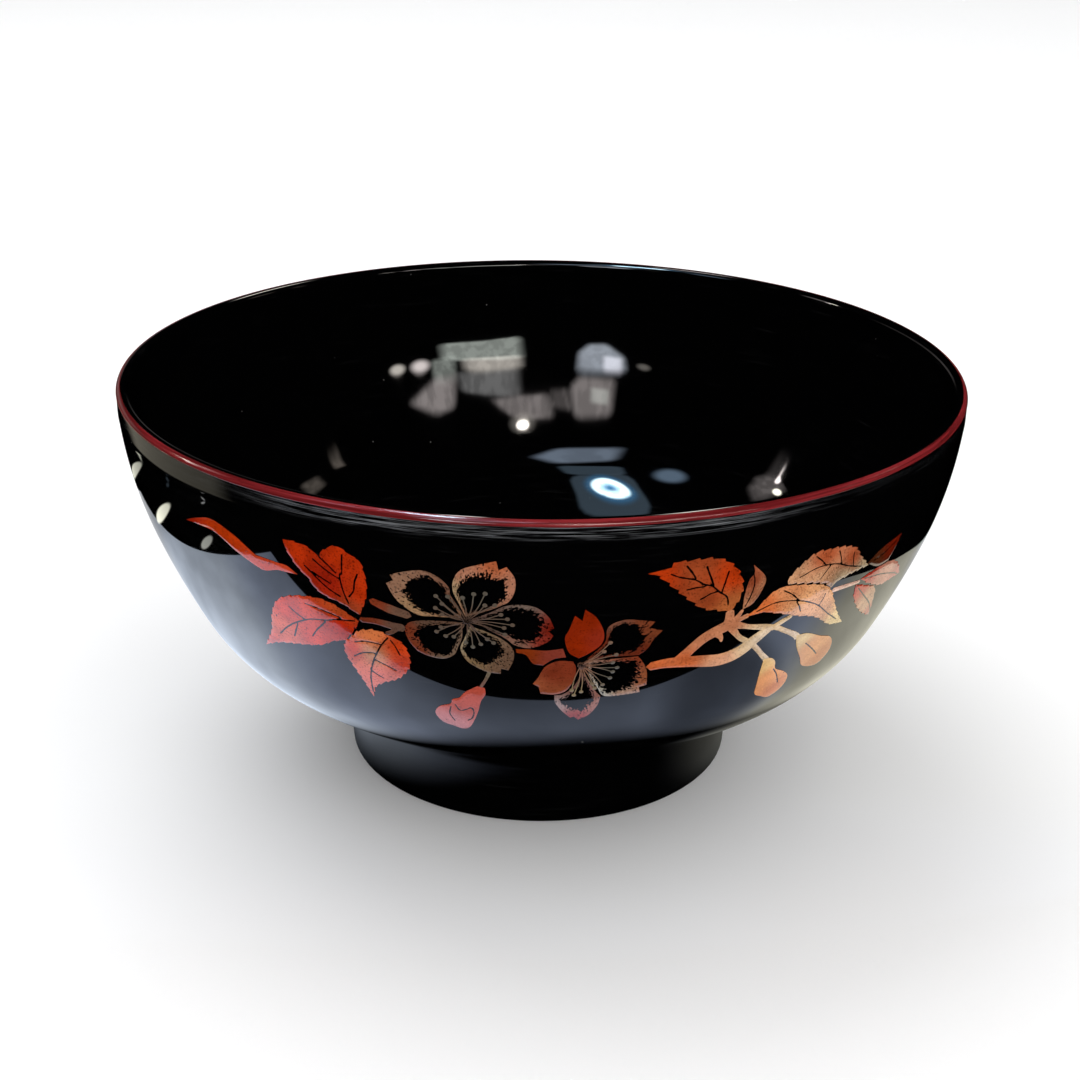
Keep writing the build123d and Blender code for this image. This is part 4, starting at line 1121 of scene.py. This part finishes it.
def red_line():
    """Dark red lacquer, brushed along the lip: it is thinner and darker in places."""
    n = Nodes("red_line")
    along = n.ramp(n.noise(0.05, 0.05, 2.6, 3.0), 0.36, 0.66)
    base = n.mix(along, colour(86, 18, 20), colour(124, 32, 36))
    thin = n.ramp(n.noise(0.9, 0.9, 3.0, 2.0), 0.60, 0.70)
    base = n.mix(n.times(thin, 0.35), base, colour(70, 10, 12))
    height = n.noise(0.25, 0.25, 3.0, 2.0)
    return n.surface(base, n.ramp(along, 0.0, 1.0, 0.10, 0.16), n.bump(height, 0.02), ior=1.5)


def core_wood():
    """Bare turned hardwood, which only shows where the lacquer is cut away."""
    n = Nodes("core_wood")
    grain = n.noise(0.9, 0.06, 0.06, 4.0)
    pores = n.ramp(n.noise(6.0, 0.5, 0.5, 2.0), 0.60, 0.72)
    base = n.mix(grain, colour(176, 132, 88), colour(132, 88, 52))
    base = n.mix(n.times(pores, 0.4), base, colour(92, 60, 36))
    return n.surface(base, n.ramp(grain, 0.3, 0.7, 0.5, 0.65), n.bump(grain, 0.05))


GRAINS_PER_MM = 4.68
DOTS_PER_MM = 5.4


def paint_material(name, speckle, flecks, streak, vein=0.0, metal=0.0):
    """Coloured lacquer and metal powder under the clear top coat. Where powder is thin it breaks up
    into strokes and dots, and veins are lines of bare lacquer."""
    n = Nodes(name)
    tint = n.attribute("paint", "Color")
    brush = n.noise(0.28, 0.28, 0.28, 3.0)
    light = n.mix(1.0, tint, (1.22, 1.22, 1.22), "MULTIPLY")
    dark = n.mix(1.0, tint, (0.62, 0.55, 0.52), "MULTIPLY")
    shade = n.mix(n.ramp(brush, 0.34, 0.66), dark, light)
    tone = n.mix(streak, tint, shade)
    grains = n.cells(GRAINS_PER_MM, "Color")
    bright = n.ramp(grains, 0.66, 0.80)
    gold = n.mix(1.0, tint, (1.5, 1.7, 1.9), "MULTIPLY")
    tone = n.mix(n.times(bright, flecks), tone, gold)
    dot = n.times(n.cells(DOTS_PER_MM), 0.55)
    strokes = n.times(n.minus(n.stroke_noise(), 0.27), 4.0)
    rough_edge = n.plus(dot, strokes)
    powder = n.times(n.attribute("powder"), 1.8)
    cover = n.ramp(n.minus(powder, rough_edge), 0.02, 0.14)
    gaps = n.ramp(n.noise(3.2, detail=3.0), 0.55, 0.66, 1.0, 1.0 - speckle)
    cover = n.times(cover, gaps)
    if vein:
        wander = n.times(n.minus(n.noise(1.6), 0.5), 0.22)
        gap = n.plus(n.attribute("vein"), wander)
        cover = n.times(cover, n.ramp(gap, vein * 0.35, vein * 0.75))
    base = n.mix(cover, BLACK, tone)
    rough = n.ramp(cover, 0.0, 1.0, 0.03, 0.055)
    height = n.plus(n.times(cover, 0.5), n.noise(0.12, detail=1.0))
    metallic = n.times(cover, metal) if metal else 0.0
    return n.surface(base, rough, n.bump(height, 0.006), metallic, LACQUER_IOR)


def pale_floor():
    n = Nodes("pale_floor")
    base = n.mix(n.noise(0.004), (0.93, 0.93, 0.935), (0.95, 0.95, 0.955))
    return n.surface(base, 0.9, n.bump(n.noise(0.5), 0.02))


# ---- making the pieces --------------------------------------------------------------------------

def make_coats():
    """The three black coats and the red line, each a closed layer."""
    under = under_path(0.0) + under_path(COAT)[::-1]
    stand_for(turned("foot_coat", lacquer_foot(), under, closed=False), "foot_lacquer")
    outside = outside_path(0.0) + outside_path(COAT)[::-1]
    stand_for(turned("outside_coat", lacquer_outside(), outside, closed=True), "outer_lacquer")
    within = inside_path(COAT)[::-1] + inside_path(0.0)
    stand_for(turned("inside_coat", lacquer_inside(), within, closed=False), "inner_lacquer")
    line = turned("lip_line", red_line(), line_path(), closed=True, shape=line_shape)
    stand_for(line, "rim_line")
    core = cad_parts["turned_core"]
    core.data.materials.clear()
    core.data.materials.append(core_wood())


def stem_strokes(stems):
    return [stroke([(u, s) for u, s, _ in stem], [width for _, _, width in stem]) for stem in stems]


HEART_RADIUS = 0.55
FILAMENT_BEND = 0.04      # sideways, as a share of the filament's length


def stamen_strokes(centre, anthers):
    """The heart, slightly bent filaments from near the centre to each anther, and the anthers."""
    shapes = [disc(centre, HEART_RADIUS)]
    for u, s in anthers:
        along = np.array([u - centre[0], s - centre[1]])
        bend = FILAMENT_BEND if (u + s) % 0.2 < 0.1 else -FILAMENT_BEND
        side = np.array([-along[1], along[0]]) * bend
        start = np.array(centre) + along * 0.06
        middle = np.array(centre) + along * 0.5 + side
        shapes.append(stroke([start, middle, (u, s)], FILAMENT_WIDTHS))
        shapes.append(disc((u, s), ANTHER_RADIUS))
    return shapes


RED_LEAVES = (
    "leaf_two_lobed", "leaf_left", "leaf_edge_on", "leaf_top_right", "leaf_hanging", "leaf_far_up",
)


def make_painting():
    leaf = paint_material("leaf_paint", speckle=0.55, flecks=0.16, streak=0.55, vein=0.25)
    pale_leaf = paint_material("pale_leaf_paint", speckle=0.60, flecks=0.40, streak=0.6, vein=0.20)
    solid = paint_material("petal_paint", speckle=0.35, flecks=0.12, streak=0.45)
    powder = paint_material("petal_powder", speckle=0.55, flecks=0.40, streak=0.35, metal=0.15)
    bud = paint_material("bud_paint", speckle=0.20, flecks=0.25, streak=0.3, vein=0.22)
    stem = paint_material("stem_paint", speckle=0.50, flecks=0.30, streak=0.5, metal=0.1)
    stamen = paint_material("stamen_gold", speckle=0.10, flecks=0.30, streak=0.2, metal=0.2)
    outlines = {name: closed_outline(leaf_, TEETH.get(name)) for name, leaf_ in LEAVES.items()}
    outlines.update({name: closed_outline(bud_) for name, bud_ in BUDS.items()})
    for part, petals in (("large", LARGE_PETALS), ("small", SMALL_PETALS)):
        for place, petal in petals.items():
            outlines[f"{part}_blossom_petal_{place}"] = closed_outline(petal)
    for name, outline in outlines.items():
        if name.startswith("bud"):
            look = bud
        elif name.startswith("leaf"):
            look = leaf if name in RED_LEAVES else pale_leaf
        else:
            look = powder if name in POWDER else solid
        painted(name, look, [outline])
    for name, stems in STEMS.items():
        painted(name, stem, stem_strokes(stems), [outlines[f] for f in STEMS_BEHIND[name]], spacing=0.3)
    for part, centre, anthers in (
        ("large", LARGE_BLOSSOM_CENTRE, LARGE_ANTHERS), ("small", SMALL_BLOSSOM_CENTRE, SMALL_ANTHERS),
    ):
        painted(
            f"{part}_blossom_stamens", stamen, stamen_strokes(centre, anthers),
            low=0.0, high=FILM + STAMEN_FILM, spacing=0.2, soft=0.1, thin=0.72,
        )


# ---- the studio ---------------------------------------------------------------------------------

CAMERA_PLACE = (0.0, -0.31087, 0.17108)
CAMERA_AIM = (0.0, 0.0, 0.035)
CAMERA_LENS = 60.02
CAMERA_SHIFT_Y = 0.0196
CAMERA_ROLL = 0.611


def make_camera():
    data = bpy.data.cameras.new("camera")
    data.lens = CAMERA_LENS
    data.sensor_width = 36.0
    data.shift_y = CAMERA_SHIFT_Y
    data.clip_start = 0.01
    camera = bpy.data.objects.new("camera", data)
    aim = (Vector(CAMERA_AIM) - Vector(CAMERA_PLACE)).to_track_quat("-Z", "Y").to_matrix()
    roll = Matrix.Rotation(math.radians(CAMERA_ROLL), 3, "Z")
    camera.matrix_world = Matrix.Translation(CAMERA_PLACE) @ (aim @ roll).to_4x4()
    bpy.context.scene.collection.objects.link(camera)
    bpy.context.scene.camera = camera


FLOOR_HALF = 4.0


def make_floor():
    """A big pale sheet. The lacquer mirrors the lit table of make_table instead."""
    mesh = bpy.data.meshes.new("floor")
    corners = [(x * FLOOR_HALF, y * FLOOR_HALF, 0) for x, y in ((-1, -1), (1, -1), (1, 1), (-1, 1))]
    mesh.from_pydata(corners, [], [(0, 1, 2, 3)])
    floor = new_object("floor", mesh, pale_floor())
    floor.visible_glossy = False


def glow(name, strength, tint, vary=0.0, per_mm=0.02):
    """A light surface that only shows as a first reflection, as bright as its "glow" attribute
    says. It is clear, so lights add up. vary breaks it up into darker patches."""
    n = Nodes(name)
    level = n.ramp(n.attribute("glow"), 0.0, 1.0, 0.0, strength)
    if vary:
        patches = n.ramp(n.noise(per_mm, detail=3.0), 0.42, 0.58, 1.0 - vary, 1.0)
        level = n.times(level, patches)
    once = n.math("LESS_THAN", n.add("LightPath").outputs["Ray Depth"], 1.5)
    light = n.add("Emission", Color=tint, Strength=n.times(level, once))
    both = n.add("AddShader")
    n.set(both.inputs[0], light.outputs[0])
    n.set(both.inputs[1], n.add("BsdfTransparent").outputs[0])
    return n.light(both)


def only_mirrored(thing):
    """A stage piece that is seen in the lacquer, and nowhere else."""
    thing.visible_camera = False
    thing.visible_diffuse = False
    thing.visible_shadow = False
    thing.visible_transmission = False
    thing.visible_volume_scatter = False


def soft_shape(name, curve, material, soft, middle_glow=1.0):
    """A flat outline that fades out towards its edge. soft is the share of its size that fades, and
    middle_glow below 1 makes a ring of it."""
    curve = np.array(curve)
    middle = curve.mean(axis=0)
    count = len(curve)
    points = np.vstack([curve, middle + (curve - middle) * (1 - soft), middle[None]])
    after = [(i + 1) % count for i in range(count)]
    faces = [(i, after[i], count + after[i], count + i) for i in range(count)]
    faces += [(count + i, count + after[i], 2 * count) for i in range(count)]
    mesh = bpy.data.meshes.new(name)
    mesh.from_pydata(points.tolist(), [], faces)
    level = np.ones(2 * count + 1, np.float32)
    level[:count] = 0.0
    level[-1] = middle_glow
    mesh.attributes.new("glow", "FLOAT", "POINT").data.foreach_set("value", level)
    only_mirrored(new_object(name, mesh, material))


REACH = 0.9               # how far the patches of light are from the bowl
BOWL_MIDDLE = np.array([0.0, 0.0, 0.045])
SIDE_STEPS = 6
ROUND_SIDES = 28
SPOT_SIDES = 24


def direction(azimuth, elevation):
    """Azimuth runs round from -Y towards +X; both are in degrees."""
    a, e = math.radians(azimuth), math.radians(elevation)
    return np.array([math.sin(a) * math.cos(e), -math.cos(a) * math.cos(e), math.sin(e)])


def patch(name, corners, strength, tint, soft, vary=0.0, per_mm=0.02):
    """A patch of light in the room, by the directions of its corners seen from the bowl."""
    ways = [direction(*corner) for corner in corners]
    sides = zip(ways, ways[1:] + ways[:1])
    curve = [a + (b - a) * t / SIDE_STEPS for a, b in sides for t in range(SIDE_STEPS)]
    smooth = [(p + q + r) / 3 for p, q, r in zip(curve[-1:] + curve[:-1], curve, curve[1:] + curve[:1])]
    placed = [BOWL_MIDDLE + REACH * way / np.linalg.norm(way) for way in smooth]
    soft_shape(name, placed, glow(name, strength, tint, vary, per_mm), soft)


def round_patch(name, azimuth, elevation, wide, high, strength, tint, soft=0.3, turn=0.0, middle_glow=1.0):
    """An oval patch of light; wide and high are its half sizes in degrees, and turn turns it."""
    way = direction(azimuth, elevation)
    across = direction(azimuth + 90, 0)
    up = np.cross(across, way)
    t = math.radians(turn)
    long, short = across * math.cos(t) + up * math.sin(t), up * math.cos(t) - across * math.sin(t)
    curve = []
    for k in range(ROUND_SIDES):
        a = 2 * math.pi * k / ROUND_SIDES
        off = long * math.cos(a) * math.tan(math.radians(wide))
        off = off + short * math.sin(a) * math.tan(math.radians(high))
        curve.append(BOWL_MIDDLE + REACH * (way + off))
    soft_shape(name, curve, glow(name, strength, tint), soft, middle_glow)


# The lit table round the bowl as the wall mirrors it: its outline, seen from above, in mm.
TABLE = [
    (-124, 96, TIP), (-125, 20), (-125, -71, TIP), (-60, -72), (0, -76), (34, -71.5), (61, -65), (85, -58),
    (104, -47), (113, -32), (118, 0), (117, 34), (107, 74), (96, 110, TIP), (30, 190), (-60, 190, TIP),
]
TABLE_SHADE = ((6.0, 16.0), (50.0, 78.0))     # middle and half sizes of the bowl's shadow on it


def table_glow():
    """Brightness of the mirrored table: bluish on the left, beige on the right, dark in the bowl's
    shadow and falling off towards the front edge and behind the bowl."""
    n = Nodes("table_glow")
    x, y = n.along("X"), n.along("Y")
    right = n.ramp(x, -30.0, 60.0)
    tint = n.mix(right, (1.10, 1.24, 1.46), (0.96, 0.93, 0.76))
    tint = n.mix(n.ramp(y, -20.0, -50.0), tint, (0.84, 0.98, 1.30))
    tint = n.mix(n.ramp(y, 30.0, 90.0), tint, (1.0, 1.03, 1.08))
    (shade_x, shade_y), (half_x, half_y) = TABLE_SHADE
    dx = n.math("DIVIDE", n.minus(x, shade_x), half_x)
    dy = n.math("DIVIDE", n.minus(y, shade_y), half_y)
    away = n.math("SQRT", n.plus(n.times(dx, dx), n.times(dy, dy)))
    lit = n.ramp(away, 0.84, 1.16, 0.0, 1.0)
    faint = n.times(n.ramp(away, 0.58, 0.72, 0.0, 0.16), n.ramp(y, -34.0, -14.0))
    lit = n.math("MAXIMUM", lit, n.times(faint, n.ramp(x, 22.0, 36.0)))
    right_x, right_y = n.minus(x, 50.0), n.plus(y, 53.0)
    squares = n.plus(n.times(right_x, right_x), n.times(right_y, right_y))
    lit = n.times(lit, n.ramp(squares, 90.0, 700.0, 0.3, 1.0))
    far = n.ramp(y, -15.0, 70.0, 1.0, 0.56)
    left_front = n.times(n.ramp(x, -35.0, -80.0), n.ramp(y, 5.0, -30.0))
    front = n.plus(n.ramp(y, -60.0, -77.0, 1.0, 0.55), n.times(left_front, 0.32))
    cloud = n.ramp(n.noise(0.03, detail=3.0), 0.3, 0.7, 0.84, 1.12)
    level = n.times(n.times(lit, far), n.times(front, cloud))
    return n.light(n.add("Emission", Color=tint, Strength=n.times(level, 1.1)))


TABLE_LIFT, SIDE_LIFT, SPOT_LIFT = 0.4, 0.6, 0.8     # heights over the floor in mm


def laid_flat(points, lift):
    return [(x * MM, y * MM, lift * MM) for x, y in points]


def make_table():
    mesh = bpy.data.meshes.new("mirrored_table")
    points = laid_flat(closed_outline(TABLE), TABLE_LIFT)
    mesh.from_pydata(points, [], [tuple(range(len(points)))])
    only_mirrored(new_object("mirrored_table", mesh, table_glow()))


def spot(name, x, y, long, wide, turn, strength, tint):
    """A small oval light at table height."""
    angles = np.arange(SPOT_SIDES) * 2 * math.pi / SPOT_SIDES
    across = np.stack([np.cos(angles) * long, np.sin(angles) * wide], axis=1)
    a = math.radians(turn)
    placed = across @ np.array([[math.cos(a), math.sin(a)], [-math.sin(a), math.cos(a)]]) + (x, y)
    soft_shape(name, laid_flat(placed, SPOT_LIFT), glow(name, strength, tint), 0.3)


WARM, WHITE, GREEN = (1.0, 0.93, 0.84), (1.0, 1.0, 1.0), (0.86, 0.94, 0.86)
COOL, BLUE, PINK = (0.80, 0.88, 1.0), (0.52, 0.76, 1.0), (1.0, 0.90, 0.88)
BROWN = (1.0, 0.86, 0.74)


def make_mirrored_lights():
    """What the lacquer mirrors apart from the table: windows and lamps of the room. A patch has its
    corners as (azimuth, elevation), its strength and tint, the share of it that fades, and how much
    and how finely it is broken up. A spot has its place and half sizes in mm."""
    pane = [(37, 16.5), (20, 17.6), (5.5, 16.4), (4.5, 25.5), (37, 23)]
    patch("window_left_top", pane, 6.8, GREEN, 0.3, 0.25)
    patch("window_left_strip", [(30, 22.4), (5, 22.8), (5, 28.2), (30, 27.2)], 9.5, WARM, 0.45, 0.2)
    patch("window_left_side", [(40, 21), (29, 21), (30, 28.4), (41, 27.4)], 5.0, GREEN, 0.6, 0.3)
    patch("window_left_low", [(33, 26), (6.5, 27), (6, 31.4), (17, 31), (32, 29)], 3.0, WHITE, 0.4, 0.3)
    round_patch("glint_far_left", 51.5, 22.2, 3.6, 2.2, 11.0, WARM, 0.7)
    round_patch("glint_left", 43.2, 23.0, 4.4, 2.8, 15.0, PINK, 0.8)
    patch("sill_left", [(53, 27), (38.5, 25.8), (29, 26.6), (32, 31), (41, 31)], 5.2, PINK, 0.5, 0.3)
    patch("sill_middle", [(22, 30.6), (10.6, 30.8), (-4, 30.4), (-7, 34), (11, 34)], 4.4, PINK, 0.4, 0.3)
    patch("sill_right", [(-2, 30), (-12, 29.6), (-13, 33), (-3, 33)], 2.6, PINK, 0.6, 0.5)
    patch("frame_right", [(-9, 29.6), (-13, 28), (-28.5, 27), (-29, 32.4), (-12, 34)], 4.4, PINK, 0.4, 0.25)
    patch("frame_right_pane", [(-17, 29.2), (-26, 28.8), (-26.6, 31.2), (-17.4, 31.6)], 4.6, GREEN, 0.6)
    pane = [(-11, 22), (-15, 18.2), (-22, 17.4), (-30, 21.6), (-32, 27), (-11, 29)]
    patch("window_right", pane, 8.5, COOL, 0.4, 0.15)
    patch("window_right_core", [(-20, 21.6), (-29, 21.6), (-30, 27.4), (-21, 28)], 9.0, (0.92, 0.9, 1.0), 0.6)
    round_patch("glint_right", -36, 24, 3.2, 1.5, 2.4, WARM, 0.8)
    round_patch("lamp_middle", 7.5, 34.6, 2.6, 0.7, 60.0, WARM, 0.5)
    round_patch("lamp_middle_haze", 7.5, 34.4, 5.5, 1.6, 3.0, WARM, 0.7)
    strip = [(10, 53), (-6, 44), (-38, 36), (-40, 50), (-6, 60)]
    patch("ceiling_strip", strip, 4.4, (0.62, 0.77, 1.0), 0.4, 0.2, 0.006)
    patch("ceiling_neck", [(-6, 60), (-43, 52.6), (-52, 58.6), (-16, 68)], 1.3, BLUE, 0.25)
    patch("ceiling_panel", [(-17, 67), (-50, 56.6), (-119, 66.4), (-142, 79)], 1.3, BLUE, 0.15)
    round_patch("ring_haze", -60, 71.3, 6.8, 13.5, 9.0, (0.0, 0.42, 1.0), 0.7, -61)
    round_patch("ring_lamp", -60, 71.3, 4.9, 9.7, 46.0, (0.72, 0.95, 1.0), 0.3, -61, 0.0)
    round_patch("ceiling_patch", -66.5, 50, 6.5, 7.0, 3.8, (0.5, 0.72, 1.0), 0.6)
    cloth = [(-94, 36), (-90, 26), (-95, 18.5), (-101, 17), (-108, 19), (-106, 40)]
    patch("curtain", cloth, 2.2, PINK, 0.6, 0.3)
    round_patch("lamp_right_high", -100.2, 20.6, 1.4, 2.4, 26.0, PINK, 0.5)
    round_patch("lamp_right_low", -104.4, 25.6, 2.4, 2.4, 30.0, (1.0, 0.98, 0.8), 0.5)
    patch("brown_left_high", [(81.5, 23), (88, 22), (89, 28), (82, 29.5)], 1.7, BROWN, 0.7, 0.2)
    patch("brown_left_low", [(94, 24), (106, 22), (110, 33), (96, 33)], 1.3, BROWN, 0.6, 0.3)
    patch("lip_light_right", [(157, 46), (168, 42), (170, 49), (160, 56)], 16.0, WARM, 0.5, 0.2)
    patch("lip_light_left", [(-162, 58), (-172, 50), (-174, 56), (-166, 65)], 12.0, PINK, 0.5, 0.3)
    patch("back_wall_left", [(-112, -3), (-178, -3), (-178, 13), (-112, 13)], 0.28, PINK, 0.5, 0.3)
    spot("lamp_spot_1", -139, 40.5, 26, 5.5, 45, 3.0, (0.98, 0.97, 0.80))
    spot("lamp_spot_2", -133, -16.5, 11, 3.6, 51, 2.2, (0.92, 0.93, 0.84))
    spot("lamp_spot_3", -142, 101.5, 40, 6.0, 38, 1.1, (0.98, 0.98, 0.82))
    spot("lamp_glint_1", -174, -22.5, 3.4, 1.3, 60, 2.0, (0.95, 0.97, 0.96))
    spot("lamp_glint_2", -177, 27, 4.0, 2.6, 33, 0.16, (0.6, 0.8, 1.0))
    side = [(-188, -70), (-190, 120), (-170, 260), (-420, 260), (-420, -70)]
    soft_shape("brown_side", laid_flat(side, SIDE_LIFT), glow("brown_side", 0.42, (1.0, 0.93, 0.74)), 0.2)


def soft_light(name, place, aim, size, power, tint):
    data = bpy.data.lights.new(name, "AREA")
    data.shape = "RECTANGLE"
    data.size, data.size_y = size
    data.energy = power
    data.color = tint
    lamp = bpy.data.objects.new(name, data)
    lamp.location = place
    lamp.rotation_euler = (Vector(aim) - Vector(place)).to_track_quat("-Z", "Y").to_euler()
    lamp.visible_glossy = False
    bpy.context.scene.collection.objects.link(lamp)


def make_lights():
    world = bpy.data.worlds.new("room")
    world.use_nodes = True
    background = world.node_tree.nodes["Background"]
    background.inputs["Color"].default_value = (1.0, 1.0, 1.0, 1.0)
    background.inputs["Strength"].default_value = 1.0
    bpy.context.scene.world = world
    world.cycles_visibility.glossy = False
    soft_light("key", (-0.30, 0.40, 1.0), (0, 0, 0.03), (0.8, 0.6), 3.6, (0.98, 0.99, 1.0))
    soft_light("front_fill", (0.55, -0.75, 0.55), (0, 0, 0.04), (0.7, 0.5), 2.0, (1.0, 0.97, 0.93))


make_camera()
make_floor()
make_table()
make_mirrored_lights()
make_lights()
make_coats()
make_painting()
bpy.context.scene.view_settings.view_transform = "Standard"
